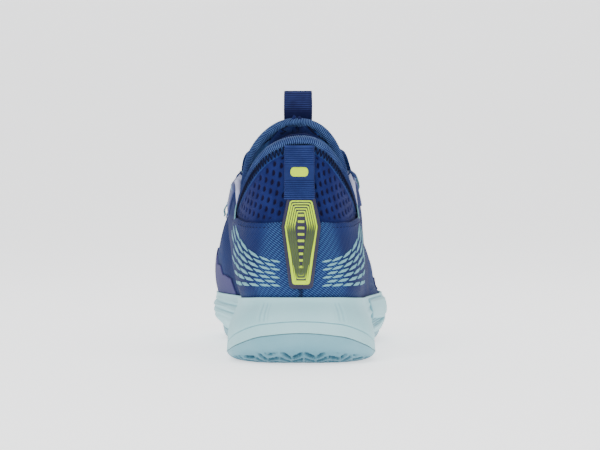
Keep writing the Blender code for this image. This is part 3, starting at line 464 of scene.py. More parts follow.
class Sheet:
    """A fine grid of points, welded where its edges meet, to be given a thickness."""

    def __init__(self, points, coords):
        flat, self.coords = points.reshape(-1, 3), coords
        grid = grid_quads(*points.shape[:2])
        keys = np.round(flat / WELD)
        _, self.first, index = np.unique(keys, axis=0, return_index=True, return_inverse=True)
        index = index.reshape(-1)
        self.points, self.quads, self.sources = flat[self.first], index[grid], grid
        p = self.points[self.quads]
        crossed = np.cross(p[:, 2] - p[:, 0], p[:, 3] - p[:, 1])
        normals = np.zeros_like(self.points)
        for k in range(4):
            np.add.at(normals, self.quads[:, k], crossed)
        self.normals = unit(normals)

    def flip(self):
        """Turns the sheet over."""
        self.quads, self.sources, self.normals = self.quads[:, ::-1], self.sources[:, ::-1], -self.normals

    def pick(self, grid):
        """The values of a grid at the welded points."""
        return np.broadcast_to(grid, self.coords.shape[:-1]).reshape(-1)[self.first]

    def solid(self, name, outer, inner, material, rounding=0.6, sharp=50):
        """A closed piece between two lifts, grids or numbers, with rounded edges."""
        outer, inner = self.pick(np.asarray(outer, float)), self.pick(np.asarray(inner, float))
        n = len(self.points)
        layers = [self.points + self.normals * lift[:, None] for lift in (outer, inner)]
        starts, ends = self.quads.ravel(), np.roll(self.quads, -1, axis=1).ravel()
        real = starts != ends
        starts, ends = starts[real], ends[real]
        open_edge = ~np.isin(starts * n + ends, ends * n + starts)
        starts, ends = starts[open_edge], ends[open_edge]
        quads = [self.quads, self.quads[:, ::-1] + n]
        corners = self.coords.reshape(-1, self.coords.shape[-1])
        coords = [corners[self.sources], corners[self.sources[:, ::-1]]]
        if len(starts):
            away = np.zeros_like(self.points)
            d = self.points[ends] - self.points[starts]
            for which in (starts, ends):
                np.add.at(away, which, np.cross(d, self.normals[which]))
            ring = np.unique(np.concatenate([starts, ends]))
            away = unit(away[ring])
            place = np.full(n, -1)
            place[ring] = np.arange(len(ring))
            middle = (layers[0][ring] + layers[1][ring]) / 2
            half_thick = (outer - inner)[ring][:, None] / 2
            index = [np.arange(n)]
            for k, angle in enumerate((45, 90, 135)):
                a = math.radians(angle)
                rim = self.normals[ring] * math.cos(a) + away * math.sin(a) * rounding
                layers.append(middle + rim * half_thick)
                index.append(np.where(place >= 0, 2 * n + k * len(ring) + place, 0))
            index.append(np.arange(n) + n)
            source = self.first
            for a, b in zip(index, index[1:]):
                quads.append(np.stack([a[ends], a[starts], b[starts], b[ends]], 1))
                coords.append(corners[source[np.stack([ends, starts, starts, ends], 1)]])
        points, quads, coords = (np.concatenate(parts) for parts in (layers, quads, coords))
        return build(name, points, quads, material, coords, sharp)


def over(surface, ts, v_of, rows, mask=None):
    """A Sheet over a surface, with its grids of t and v. v_of gives v from t and a row."""
    t, r = lattice(np.asarray(ts, float), np.asarray(rows, float))
    v = v_of(t, r)
    points = surface(t, v)
    steps = np.linalg.norm(np.diff(points, axis=1, prepend=points[:, :1]), axis=-1)
    marks = np.zeros_like(t) if mask is None else mask(t, v)
    return Sheet(points, np.stack([arc_of(t), np.cumsum(steps, axis=1), marks], -1)), t, v


def between(low, high):
    """v from low(t) to high(t) over rows 0 to 1, and rows below 0 as they are."""
    return lambda t, r: np.where(r < 0, r, low(t) + (high(t) - low(t)) * np.clip(r, 0, 1))


def level(value):
    return lambda t: np.full(np.shape(t), float(value))


def turned(points, ups):
    """Along, across and up directions at each point of a line."""
    along = unit(np.gradient(points, axis=0))
    up = unit(ups - along * (ups * along).sum(1, keepdims=True))
    return along, np.cross(along, up), up


def sweep(points, ups, section, scale=None):
    """Points and quads of a closed section of across and up values, carried along a line and capped."""
    _, across, up = turned(points, ups)
    section = np.asarray(section, float)
    size = np.ones(len(points)) if scale is None else np.asarray(scale)
    rings = (
        points[:, None]
        + across[:, None] * section[None, :, :1] * size[:, None, None]
        + up[:, None] * section[None, :, 1:] * size[:, None, None]
    )
    n, k = len(points), len(section)
    quads = [grid_quads(n, k, wrap_columns=True)]
    half_way = np.arange(k // 2 - 1)
    cap = np.stack([half_way, half_way + 1, k - 2 - half_way, k - 1 - half_way], 1)
    quads += [cap[:, ::-1], cap + (n - 1) * k]
    return rings.reshape(-1, 3), np.concatenate(quads)


def round_section(width, height, count=6):
    angles = (np.arange(count) + 0.5) * 2 * np.pi / count
    return np.stack([width / 2 * np.cos(angles), height / 2 * np.sin(angles)], 1)


def joined(solids):
    """Several lists of points and quads as one."""
    points, quads, start = [], [], 0
    for p, q in solids:
        points.append(p)
        quads.append(np.asarray(q) + start)
        start += len(p)
    return np.concatenate(points), np.concatenate(quads)


STITCH_RADIUS = 0.24
# How a stitch rises from the cloth and sinks back along its length, in radii.
STITCH_ARCH = np.array([-0.3, 0.1, 0.22, 0.1, -0.3]) / STITCH_RADIUS


def stitch_run(line, ups, pitch=3.0, length=2.2, radius=STITCH_RADIUS):
    """Separate raised stitches along a line."""
    far = travelled(line)
    solids = []
    for start in np.arange(pitch / 2, far[-1] - length, pitch):
        want = start + np.linspace(0, length, len(STITCH_ARCH))
        up = read_at(want, far, ups)
        points = read_at(want, far, line) + up * (STITCH_ARCH * radius)[:, None]
        solids.append(sweep(points, up, round_section(2 * radius, 2 * radius)))
    return joined(solids)


# ---------------------------------------------------------------- materials

NAVY = (0.007, 0.013, 0.070)
DEEP_NAVY = (0.002, 0.004, 0.030)
BLUE = (0.009, 0.019, 0.100)
THREAD = (0.030, 0.105, 0.280)
PALE_THREAD = (0.058, 0.170, 0.370)
AQUA = (0.330, 0.600, 0.640)
PALE_AQUA = (0.380, 0.650, 0.690)
TEAL = (0.150, 0.360, 0.430)
SHADED_TEAL = (0.030, 0.110, 0.170)
LIME = (0.500, 0.720, 0.010)
GREY_LIME = (0.064, 0.092, 0.036)
PLUM = (0.007, 0.005, 0.034)
LAVENDER = (0.045, 0.042, 0.135)
WHITE = (0.75, 0.76, 0.78)


class Paint:
    """A Principled material, and the nodes that drive it from the cloth attribute."""

    def __init__(self, name, colour, roughness, **constants):
        self.made = bpy.data.materials.new(name)
        self.made.use_nodes = True
        self.tree = self.made.node_tree
        self.shader = self.tree.nodes["Principled BSDF"]
        self.set("Base Color", (*colour, 1))
        self.set("Roughness", roughness)
        if roughness > 0.6:
            self.set("Specular IOR Level", 0.12)
        for key, value in constants.items():
            self.set(key.replace("_", " ").title().replace("Ior", "IOR"), value)
        self.made.diffuse_color = (*colour, 1)

    def put(self, socket, value):
        if isinstance(value, bpy.types.NodeSocket):
            self.tree.links.new(value, socket)
        else:
            socket.default_value = value

    def set(self, key, value):
        self.put(self.shader.inputs[key], value)

    def node(self, kind, values, output=0, **settings):
        made = self.tree.nodes.new("ShaderNode" + kind)
        for key, value in settings.items():
            setattr(made, key, value)
        for key, value in values.items():
            self.put(made.inputs[key], value)
        return made.outputs[output]

    def math(self, operation, a, b=0.0):
        return self.node("Math", {0: a, 1: b}, operation=operation)

    def add(self, a, b):
        return self.math("ADD", a, b)

    def times(self, a, b):
        return self.math("MULTIPLY", a, b)

    def step(self, value, low, high, to_low=0.0, to_high=1.0):
        """A smooth step from low to high."""
        values = {0: value, 1: low, 2: high, 3: to_low, 4: to_high}
        return self.node("MapRange", values, interpolation_type="SMOOTHSTEP")

    def mix(self, share, a, b):
        a, b = (value if isinstance(value, bpy.types.NodeSocket) else (*value, 1) for value in (a, b))
        return self.node("Mix", {0: share, 6: a, 7: b}, output=2, data_type="RGBA")

    def cloth(self):
        """The distances along and up the cloth, in mm, and the mask, with the whole vector first."""
        vector = self.node("Attribute", {}, output=1, attribute_name="cloth")
        return [vector] + [self.node("SeparateXYZ", {0: vector}, output=k) for k in range(3)]

    def place(self):
        """The place on the object in millimetres."""
        return self.node("VectorMath", {0: self.node("TexCoord", {}, output=3), 3: 1 / MM}, operation="SCALE")

    def noise(self, vector, scale, detail=2.0):
        return self.node("TexNoise", {"Vector": vector, "Scale": scale, "Detail": detail})

    def waves(self, u, v, pitch, angle):
        """Waves from 0 to 1 across lines that run at an angle to u, in degrees."""
        turn = 2 * math.pi / pitch
        a = math.radians(angle)
        across = self.add(self.times(u, -math.sin(a) * turn), self.times(v, math.cos(a) * turn))
        return self.add(self.times(self.math("SINE", across), 0.5), 0.5)

    def bump(self, height):
        """The finished material, with a relief of this height in millimetres."""
        self.set("Normal", self.node("Bump", {"Strength": 1.0, "Distance": MM, "Height": height}))
        return self.made


def weave_paint():
    """Navy cloth with light threads that run down to the lateral side, strong where the mask is 1."""
    paint = Paint("woven_shell", NAVY, 0.78, sheen_weight=0.02, sheen_roughness=0.45)
    vector, u, v, mask = paint.cloth()
    wander = paint.times(paint.add(paint.noise(vector, 0.05), -0.5), 2.6)
    u = paint.add(u, wander)
    threads = paint.waves(u, v, 1.05, -34)
    knots = paint.waves(u, v, 2.3, 49)
    fine = paint.waves(u, v, 0.7, 90)
    cloudy = paint.noise(vector, 0.045, 3)
    body = paint.mix(paint.step(cloudy, 0.25, 0.85), NAVY, BLUE)
    body = paint.mix(paint.times(paint.step(fine, 0.5, 1.0), 0.10), body, THREAD)
    shown = paint.step(paint.add(threads, paint.times(knots, 0.30)), 0.74, 1.12)
    strength = paint.times(shown, paint.step(paint.add(mask, paint.times(cloudy, 0.2)), 0.2, 1.1, 0.0, 0.66))
    bright = paint.mix(paint.step(mask, 0.2, 1.1), THREAD, PALE_THREAD)
    paint.set("Base Color", paint.mix(strength, body, bright))
    paint.set("Roughness", paint.add(0.66, paint.times(cloudy, 0.25)))
    height = paint.add(paint.times(threads, 0.16), paint.times(knots, 0.09))
    return paint.bump(paint.add(height, paint.times(fine, 0.05)))


def knit_paint(name, colour, light, pitch=1.3, masked=None):
    """Small V stitches in columns. Where the mask is 1 the knit takes the colour in masked."""
    paint = Paint(name, colour, 0.85, sheen_weight=0.03, sheen_roughness=0.5)
    vector, u, v, mask = paint.cloth()
    column = paint.math("PINGPONG", u, pitch / 2)
    rows = paint.waves(0.0, paint.add(v, column), pitch, 0)
    columns = paint.waves(u, 0.0, pitch, 90)
    loops = paint.times(rows, paint.add(paint.times(columns, 0.6), 0.4))
    cloudy = paint.noise(vector, 0.12, 3)
    base = paint.mix(paint.step(cloudy, 0.3, 0.7), colour, tuple(c * 1.5 for c in colour))
    base = paint.mix(paint.times(loops, 0.4), base, light)
    if masked:
        base = paint.mix(paint.times(mask, paint.add(paint.times(loops, 0.5), 0.5)), base, masked)
    paint.set("Base Color", base)
    return paint.bump(paint.times(loops, 0.22))


def panel_paint():
    """Close mesh, with painted shade in its dimples."""
    paint = Paint("collar_mesh", BLUE, 0.8, sheen_weight=0.02, sheen_roughness=0.4)
    vector, u, v, mask = paint.cloth()
    holes = paint.times(paint.waves(u, v, 0.9, 45), paint.waves(u, v, 0.9, -45))
    cloudy = paint.noise(vector, 0.10, 3)
    base = paint.mix(paint.step(cloudy, 0.3, 0.75), (0.006, 0.010, 0.075), (0.011, 0.019, 0.110))
    base = paint.mix(paint.times(holes, 0.22), base, DEEP_NAVY)
    base = paint.mix(paint.step(mask, -0.5, -0.2, 1.0, 0.0), base, (0.016, 0.038, 0.150))
    # Painted shade: the dimples darken almost to black where the mask nears 1.
    paint.set("Base Color", paint.mix(paint.times(mask, 0.9), base, (0.004, 0.002, 0.016)))
    return paint.bump(paint.times(holes, -0.14))


def ribbed_paint(name, low, high, along=0.9, roughness=0.8, painted_shade_below=None):
    """Cloth whose mask rises from furrows to ribs. The lighter ribs and darker furrows are partly the yarn's
    own colour and partly painted highlight and shade. Below the given heights its ribs are darker, as painted
    shade.
    """
    paint = Paint(name, low, roughness, sheen_weight=0.03, sheen_roughness=0.4)
    vector, *_, mask = paint.cloth()
    cloudy = paint.noise(vector, 0.15, 3)
    fibres = paint.noise(vector, 3.0, 2)
    share = paint.times(paint.step(mask, 0.25, 1.0), paint.step(cloudy, 0.2, 0.8, 0.35, along))
    # Painted shade: below the given heights of the object the ribs fade towards the furrows' colour.
    if painted_shade_below:
        height = paint.node("SeparateXYZ", {0: paint.place()}, output=2)
        share = paint.times(share, paint.step(height, *painted_shade_below, 0.16, 1.1))
    paint.set("Base Color", paint.mix(share, low, high))
    paint.set("Roughness", paint.add(roughness - 0.15, paint.times(fibres, 0.25)))
    return paint.bump(paint.times(fibres, 0.12))


def foam_paint(name, low, high, roughness, dark):
    """Moulded foam or rubber: a fine grain, faint clouds, and painted shade in a darker colour where the mask
    is 1.
    """
    paint = Paint(name, high, roughness, specular_ior_level=0.2)
    vector = paint.place()
    mask = paint.cloth()[-1]
    cloudy = paint.noise(vector, 0.035, 3)
    grain = paint.noise(vector, 2.2, 3)
    base = paint.mix(paint.step(cloudy, 0.3, 0.7), low, high)
    paint.set("Base Color", paint.mix(mask, base, dark))
    paint.set("Roughness", paint.add(roughness - 0.1, paint.times(grain, 0.2)))
    return paint.bump(paint.times(grain, 0.10))


def film_paint(name, low, high, roughness, coat=0.0):
    """A smooth fused film or moulded trim, in the low colour at mask 0 and the high colour at mask 1."""
    paint = Paint(name, high, roughness, coat_weight=coat, coat_roughness=0.35)
    vector, *_, mask = paint.cloth()
    cloudy = paint.noise(vector, 0.06, 3)
    grain = paint.noise(vector, 1.6, 3)
    share = paint.math("MINIMUM", paint.add(mask, paint.times(paint.add(cloudy, -0.5), 0.25)), 1.0)
    paint.set("Base Color", paint.mix(paint.math("MAXIMUM", share, 0.0), low, high))
    paint.set("Roughness", paint.add(roughness - 0.08, paint.times(grain, 0.16)))
    return paint.bump(paint.times(grain, 0.07))


def plain_weave_paint(name, low, high, pitch):
    """A flat woven tape or board."""
    paint = Paint(name, low, 0.8, sheen_weight=0.03, sheen_roughness=0.5)
    vector, u, v, _ = paint.cloth()
    weave = paint.times(paint.waves(u, v, pitch, 40), paint.waves(u, v, pitch, -40))
    cloudy = paint.noise(vector, 0.2, 3)
    share = paint.add(paint.times(weave, 0.65), paint.times(cloudy, 0.25))
    paint.set("Base Color", paint.mix(share, low, high))
    return paint.bump(paint.times(weave, 0.2))


def rigid_paint(name, colour, roughness):
    """One colour with a faint grain, for thread, aglets and the hidden stiffeners."""
    paint = Paint(name, colour, roughness)
    grain = paint.noise(paint.place(), 1.4, 4)
    paint.set("Base Color", paint.mix(grain, tuple(c * 0.75 for c in colour), colour))
    paint.set("Roughness", paint.add(roughness - 0.1, paint.times(grain, 0.2)))
    return paint.bump(paint.times(grain, 0.08))


WEAVE = weave_paint()
SOCK = knit_paint("sock_knit", (0.004, 0.007, 0.045), BLUE, masked=(0.050, 0.120, 0.300))
TONGUE_KNIT = knit_paint("tongue_knit", (0.014, 0.032, 0.150), (0.05, 0.12, 0.36), pitch=1.6)
PANEL = panel_paint()
# The binding's ribs take painted shade below 92 to 124 mm up, on its sides.
RIB = ribbed_paint("rib_knit", (0.006, 0.013, 0.075), (0.100, 0.190, 0.390), painted_shade_below=(92, 124))
WEBBING = ribbed_paint("webbing", (0.005, 0.011, 0.065), (0.024, 0.048, 0.180), along=1.0, roughness=0.7)
LOOP_BLUES = (0.002, 0.004, 0.036), (0.028, 0.042, 0.160)
# The pull loop's ribs take painted shade below 134 to 144 mm up, on its lower half.
LOOP_WEBBING = ribbed_paint("loop_webbing", *LOOP_BLUES, along=1.0, roughness=0.7, painted_shade_below=(134, 144))
# The midsole's teal is painted shade in the grooves of its wall and in the outrigger's recess.
MIDSOLE = foam_paint("midsole_foam", AQUA, PALE_AQUA, 0.55, TEAL)
# The outsole's darker teal is painted shade in its grooves and underneath.
OUTSOLE = foam_paint("outsole_rubber", TEAL, (0.190, 0.400, 0.470), 0.45, SHADED_TEAL)
TOE_RUBBER = foam_paint("toe_rubber", TEAL, AQUA, 0.5, TEAL)
BADGE = film_paint("badge_base", PLUM, GREY_LIME, 0.5)
LIME_PRINT = film_paint("lime_print", GREY_LIME, LIME, 0.62)
FILM = film_paint("drag_film", (0.020, 0.026, 0.110), LAVENDER, 0.66)
FACING_PAINT = knit_paint("facing_cloth", (0.330, 0.340, 0.480), (0.520, 0.530, 0.660), pitch=0.9)
STAY = film_paint("eyestay_film", (0.020, 0.030, 0.110), (0.075, 0.095, 0.260), 0.5, coat=0.05)
DASH = plain_weave_paint("dash_threads", (0.140, 0.340, 0.390), (0.260, 0.520, 0.560), 0.8)
LACE = plain_weave_paint("lace_weave", (0.006, 0.014, 0.075), (0.030, 0.070, 0.210), 1.3)
LACE_LOOP = ribbed_paint("lace_loop_webbing", (0.170, 0.340, 0.390), (0.400, 0.640, 0.680))
THREAD_DARK = rigid_paint("sewing_thread", (0.002, 0.003, 0.020), 0.8)
THREAD_BLUE = rigid_paint("light_sewing_thread", (0.200, 0.380, 0.620), 0.6)
AGLET = rigid_paint("aglet_plastic", (0.420, 0.620, 0.660), 0.25)
INSOLE = knit_paint("insole_knit", (0.020, 0.040, 0.140), (0.070, 0.120, 0.300))
BOARD = plain_weave_paint("board_felt", (0.420, 0.420, 0.440), WHITE, 1.6)
STIFFENER = rigid_paint("stiffener_board", (0.55, 0.54, 0.52), 0.6)
SHANK = rigid_paint("shank_composite", (0.03, 0.035, 0.06), 0.4)


# ---------------------------------------------------------------- riding


def bends(piece, *nodes, slot=None):
    """A piece with its placement baked into its mesh, standing for the given nodes, which are hidden."""
    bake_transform(piece)
    return stands_for(piece, nodes)


def rides(piece, body, *nodes, slot=None):
    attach(piece, body)
    return stands_for(piece, nodes)


def stands_for(piece, nodes):
    if nodes:
        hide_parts(*nodes)
    return piece


# ---------------------------------------------------------------- the sole

COLUMN = 0.08  # column spacing of the shell and the sock, in stations
ROUND = np.arange(0, AROUND + COLUMN / 2, COLUMN)
GROOVE_DEPTH = 1.6


def roll_point(t, turn, lift=0.0, start=0.0, spread=0.0):
    """On the roll from the outsole line (turn = 0) to the underside (turn = 90 degrees)."""
    line = sole_value(LINE_Z, t)
    roll = np.maximum(sole_value(GROUND_INSET, t), line_inset(t) + 5) + spread
    start = start + line_inset(t)
    low = ground(inset_point(t, roll, 0 * line)[..., 1]) + lift
    rise = np.maximum(line + max(lift - OUTSOLE_THICKNESS, 0) - low, 0.4)
    return inset_point(t, start + (roll - start) * (1 - math.cos(turn)), low + rise * (1 - math.sin(turn)))


def crossed(ring, count):
    """Rings inside a sole-shaped ring, on straight lines across from one side to the other."""
    n = len(ring)
    far = ring[(-np.arange(n)) % n]
    return [ring + (far - ring) * (0.5 * k / count) for k in range(1, count + 1)]


def ringed(rings, marks):
    """A Sheet from sole-shaped rings, welded along its middle. marks holds a mask for each ring's points."""
    points = np.stack([np.concatenate([ring, ring[:1]]) for ring in rings], 1)
    marks = np.stack([np.broadcast_to(mark, (len(points) - 1,)) for mark in marks], 1)
    marks = np.concatenate([marks, marks[:1]])
    n = len(points)
    t = np.linspace(0, AROUND, n)[:, None]
    arc = np.broadcast_to(t * 20, points.shape[:2])
    climb = np.cumsum(np.linalg.norm(np.diff(points, axis=1, prepend=points[:, :1]), axis=-1), axis=1)
    return Sheet(points, np.stack([arc, climb, marks], -1))


def loft(name, rings, marks, material, sharp=45):
    """A closed solid from rings that run from the middle of its top over the edge to the middle below."""
    sheet = ringed(rings, marks)
    coords = sheet.coords.reshape(-1, 3)[sheet.sources]
    return build(name, sheet.points, sheet.quads, material, coords, sharp)


# The midsole's fine upright ribs, at distances round from the heel: from, to, pitch, depth.
RIB_BANDS = ((15, 20.5, 2.3, 0.42), (21, 34, 1.15, 0.16), (34, 70, 1.15, 0.16))


def wall_relief(arc, w, h):
    """How far the midsole's moulded detail stands out of its wall, in mm."""
    relief = -0.55 * np.exp(-(((w - WIDEST_W) / 0.014) ** 2)) * ramp(9.5, 7.5, h)
    window = ramp(0.06, 0.12, w) * ramp(0.58, 0.5, w)
    distance = np.abs(arc)
    for low, high, pitch, depth in RIB_BANDS:
        inside = ramp(low, low + 0.4, distance) * ramp(high + 0.4, high, distance)
        rib = 0.5 + 0.5 * np.cos(2 * np.pi * (distance - low) / pitch)
        relief = relief - depth * inside * window * rib**2
    waves = ramp(8.5, 10.5, h) * ramp(0.06, 0.16, w) * ramp(0.6, 0.45, w)
    return relief + 0.8 * waves * np.sin(2 * np.pi * (w * 5.2 + 0.035 * distance / 10)) ** 3


def make_midsole():
    t = np.arange(0, AROUND, 0.035)
    line, bite_inset, bite = (sole_value(i, t) for i in (LINE_Z, BITE_INSET, BITE_Z))
    cup = bite_inset - SHELL_THICKNESS - 2 * GAP
    floor, foot = inset_point(t, cup + 3, 0 * t), inset_point(t, cup + 1.5, 0 * t)
    floor[:, 2], foot[:, 2] = footbed(floor[:, 1]), footbed(foot[:, 1]) + 1.5
    lip = [foot] + [
        inset_point(t, cup + reach, bite + rise) for reach, rise in ((0, -3), (0, -0.5), (-0.5, 0.1))
    ]
    above_groove = [0.0, 0.012, 0.03, *np.linspace(0.06, 0.56, 14)]
    ws = np.array([*above_groove, *np.linspace(0.585, 0.655, 15), 0.7, 0.76, 0.83, 0.9, 0.96, 0.985])
    lip.append(wall(t, 0.0) + [0, 0, 0.9])
    reliefs = [wall_relief(arc_of(t), w, half(t)) for w in ws]
    side_wall = [wall(t, w) + outward(t) * relief[:, None] for w, relief in zip(ws, reliefs)]
    line_low = line + GAP
    foot_edge = [inset_point(t, line_inset(t) + reach, line_low) for reach in (0, 3.1)]
    under = [roll_point(t, math.radians(a), OUTSOLE_THICKNESS + GAP, 3.1, 3.5 + GAP) for a in (30, 60, 90)]
    rings = crossed(floor, 3)[::-1] + [floor] + lip + side_wall + foot_edge + under + crossed(under[-1], 2)
    marks = [0.0] * len(rings)
    first = 4 + len(lip)
    # Painted shade: the wall darkens towards teal where its relief sinks, in the parting groove, the rib
    # furrows and the troughs of the waves.
    marks[first : first + len(ws)] = [np.clip(-1.1 * relief, 0, 0.7) for relief in reliefs]
    made = loft("midsole", rings, marks, MIDSOLE)
    bends(made, "midsole_rear", "midsole_forefoot", slot="midsole")


ZIG_PERIOD, ZIG_HEIGHT, TREAD_PITCH = 13.0, 5.0, 5.6
WAIST = (-64, 4)  # the midfoot's stretch of plain bars


def tread(x, y):
    """1 in the tread's grooves: a herringbone with a bridge at each corner, and plain bars at the waist."""
    x = x - ORIGIN_X
    corner = np.mod(x / ZIG_PERIOD * 2, 1)
    zig = np.abs(np.mod(x / ZIG_PERIOD, 1) * 2 - 1) - 0.5
    calm = ramp(WAIST[0] - 3, WAIST[0] + 3, y) * ramp(WAIST[1] + 3, WAIST[1] - 3, y)
    phase = (y + zig * ZIG_HEIGHT * (1 - 0.8 * calm)) / TREAD_PITCH
    groove = ramp(0.56, 0.40, np.abs(np.mod(phase, 1) - 0.5) * 2)
    bridge = ramp(0.13, 0.05, np.minimum(corner, 1 - corner)) * (1 - calm)
    shank = calm * ramp(15, 13, np.abs(x + 1))
    return groove * (1 - bridge) * (1 - shank)


def make_outsole():
    t = np.arange(0, AROUND, 0.04)
    line = sole_value(LINE_Z, t)
    inner = [roll_point(t, math.radians(a), OUTSOLE_THICKNESS, 2.8, 3.5) for a in (90, 60, 30)]
    edge = [
        inset_point(t, line_inset(t) + reach, line - drop)
        for reach, drop in ((2.8, 0), (0.3, 0), (0.05, 0.15), (-0.12, 0.5), (-0.05, 0.9))
    ]
    turns = np.radians(np.linspace(9, 90, 34))
    roll = [roll_point(t, a) for a in turns]
    under = crossed(roll[-1], 46)
    turns = np.concatenate([turns, np.full(len(under), math.pi / 2)])
    outer, marks = [], []
    for ring, turn in zip(roll + under, turns):
        groove = tread(ring[:, 0], ring[:, 1]) * float(ramp(0.5, 0.8, turn))
        inwards = np.stack([0 * t, 0 * t, 0 * t + math.sin(turn)], 1) - outward(t) * math.cos(turn)
        outer.append(ring + inwards * (GROOVE_DEPTH * groove)[:, None])
        # Painted shade: full in the tread's grooves, and 0.62 of the way to the darker teal as the rubber
        # turns under the sole.
        marks.append(np.maximum(groove, 0.62 * float(ramp(0.15, 1.1, turn))))
    rings = crossed(inner[0], 2)[::-1] + inner + edge + outer
    marks = [0.0] * (len(rings) - len(outer)) + marks
    made = loft("outsole", rings, marks, OUTSOLE, 35)
    bends(made, "outsole_rear", "outsole_forefoot", slot="outsole")


OUTRIGGER_START, OUTRIGGER_END = 9.9, 12.7
NOTCH_MIDDLE = 0.62  # height of the recess on the wall


def outrigger_lift(t, w):
    """The block's relief: a top ledge with a pointed rear end, a ribbed triangular recess, a lower block."""
    along = np.clip((t - OUTRIGGER_START) / 2.8, 0, 1)
    body = np.sin(np.pi * np.clip(along * 1.02, 0, 1)) ** 0.6
    ledge_line = 0.46 + 0.05 * along
    ledge = ramp(ledge_line + 0.012, ledge_line - 0.012, w) * ramp(0.03, 0.12, w)
    taper = np.clip(1 - (t - OUTRIGGER_START) / 1.9, 0, 1)
    notch = ramp(0.17 * taper + 0.012, 0.17 * taper - 0.012, np.abs(w - NOTCH_MIDDLE)) * (taper > 0)
    block = ramp(0.98, 0.9, w) * (1 - ramp(ledge_line + 0.012, ledge_line - 0.012, w))
    ribs = 0.15 + 0.7 * np.abs(np.sin(np.pi * (w - 0.44) / 0.065))
    return (0.45 + body * (2.5 * ledge + 1.6 * block)) * (1 - notch) + ribs * notch


def make_outrigger():
    ts, rows = np.arange(OUTRIGGER_START, OUTRIGGER_END + 0.01, 0.02), np.linspace(0, 1, 90)

    # Painted shade: the block darkens where its relief lies low, as in its ribbed recess, but not near its
    # front end.
    def mask(t, w):
        return 0.95 * ramp(1.1, 0.5, outrigger_lift(t, w)) * ramp(12.2, 11.6, t)

    sheet, t, w = over(wall, ts, lambda t, r: 0.03 + 0.92 * r, rows, mask)
    if sheet.normals[:, 0].mean() < 0:
        sheet.flip()
    made = sheet.solid("outrigger", outrigger_lift(t, w), -2.5, MIDSOLE, sharp=35)
    bends(made, "lateral_outrigger", slot="midsole")


STROBEL_TOP = 1.3  # its height over the footbed
BOARD_TOP = ((9, 0), (6, 0.1), (3, 0.4), (1, 0.85), (0.2, 1))  # how a cupped board rises towards its edge


def make_board(name, clearance, low, high, cup, material, slot):
    """A flat or cupped board that follows the footbed."""
    t = np.arange(0, AROUND, 0.1)
    inset = sole_value(BITE_INSET, t) + clearance
    profile = [(extra, high + rise * cup) for extra, rise in BOARD_TOP]
    profile += [(0, high + cup - 0.3), (0, low + 0.3), (0.6, low)]
    rings = []
    for extra, z in profile:
        ring = inset_point(t, inset + extra, 0 * t)
        ring[:, 2] = footbed(ring[:, 1]) + z
        rings.append(ring)
    rings = crossed(rings[0], 6)[::-1] + rings + crossed(rings[-1], 2)
    bends(loft(name, rings, np.zeros(len(rings)), material), name, slot=slot)


# ---------------------------------------------------------------- the upper


def weave_mask(t, v):
    """1 where the light threads are strong: round the back of the heel and over the forefoot."""
    h = half(t)
    heel = ramp(1.9, 1.0, h + 0.8 * (v - 0.2))
    low = 0.6 * ramp(0.12, 0.02, v) * ramp(5, 3, h)
    front = 0.6 * ramp(9.5, 12.0, h)
    return np.maximum(np.maximum(heel, low), front)


def pucker(t, v):
    """Small unevenness that cloth has over its whole surface, in mm."""
    return 0.14 * np.sin(3.1 * t + 5 * v) * np.sin(9 * v + 0.7 * t) + 0.06 * np.sin(8.3 * t - 13 * v)


def make_shell():
    rows = np.concatenate([[-1, -0.6, -0.3], np.linspace(0, 1, 46)])
    sheet, t, v = over(flared_form, ROUND, between(level(0), shell_edge), rows, weave_mask)
    fold = 0.5 * ramp(0.035, 0.0, np.abs(v - shell_edge(t) + 0.03)) * (half(t) < 12.5)
    outer = SHELL_THICKNESS + pucker(t, v) * ramp(0, 0.1, v) + fold
    made = sheet.solid("woven_shell", outer, 0, WEAVE)
    bends(made, "lateral_quarter", "medial_quarter", "vamp", "toe_box", slot="woven_shell")


DASH_ROWS, DASHES = 7, 6
DASH_LOW = 42.8  # height of the lowest row
DASH_END = 66  # distance from the heel's middle
DASH_HEIGHTS = ((13, 35, 50, DASH_END), (0.8, 1.4, 1.65, 1.35))


def dash_place(k):
    """Distance of the middle of the k-th dash from the heel's middle. The steps grow outwards."""
    return 13.4 + 5.4 * k + 0.95 * k**2


def make_dashes():
    """Rows of woven light dashes that spread outwards and up from the badge."""
    a, b = lattice(np.linspace(-0.5, 0.5, 11), np.linspace(-0.5, 0.5, 4))
    pieces = []
    for sign in (1, -1):
        for row in range(DASH_ROWS):
            level_up = 1 - row / (DASH_ROWS - 1)
            for k in np.arange(DASHES) + 0.5 * (row % 2):
                middle = dash_place(k)
                if middle > DASH_END:
                    continue
                step = dash_place(k + 0.5) - dash_place(k - 0.5)
                height = np.interp(middle, *DASH_HEIGHTS)
                s = middle + (0.64 * step) * a + 2.5 * height * b
                spread = 12.6 * level_up + level_up * 20 * (np.clip(s - 12, 0, None) / 46) ** 1.6
                z = DASH_LOW + spread + b * height
                t = station_at(sign * s)
                v = at_height(flared_form, t, z)
                sheet = Sheet(flared_form(t, v), np.stack([s, z, 0 * s], -1))
                if (sheet.normals * outward(sheet.pick(t))).sum(-1).mean() < 0:
                    sheet.flip()
                surface = SHELL_THICKNESS + pucker(t, v) * ramp(0, 0.1, v)
                pieces.append(sheet.solid("heel_dash", surface + 0.24, surface - 0.35, DASH))
    rides(merge("heel_dashes", pieces), "rearfoot", slot="woven_shell")


def merge(name, pieces):
    """Several objects made here as one."""
    with bpy.context.temp_override(active_object=pieces[0], selected_editable_objects=pieces):
        bpy.ops.object.join()
    pieces[0].name = name
    pieces[0].data.name = name
    return pieces[0]


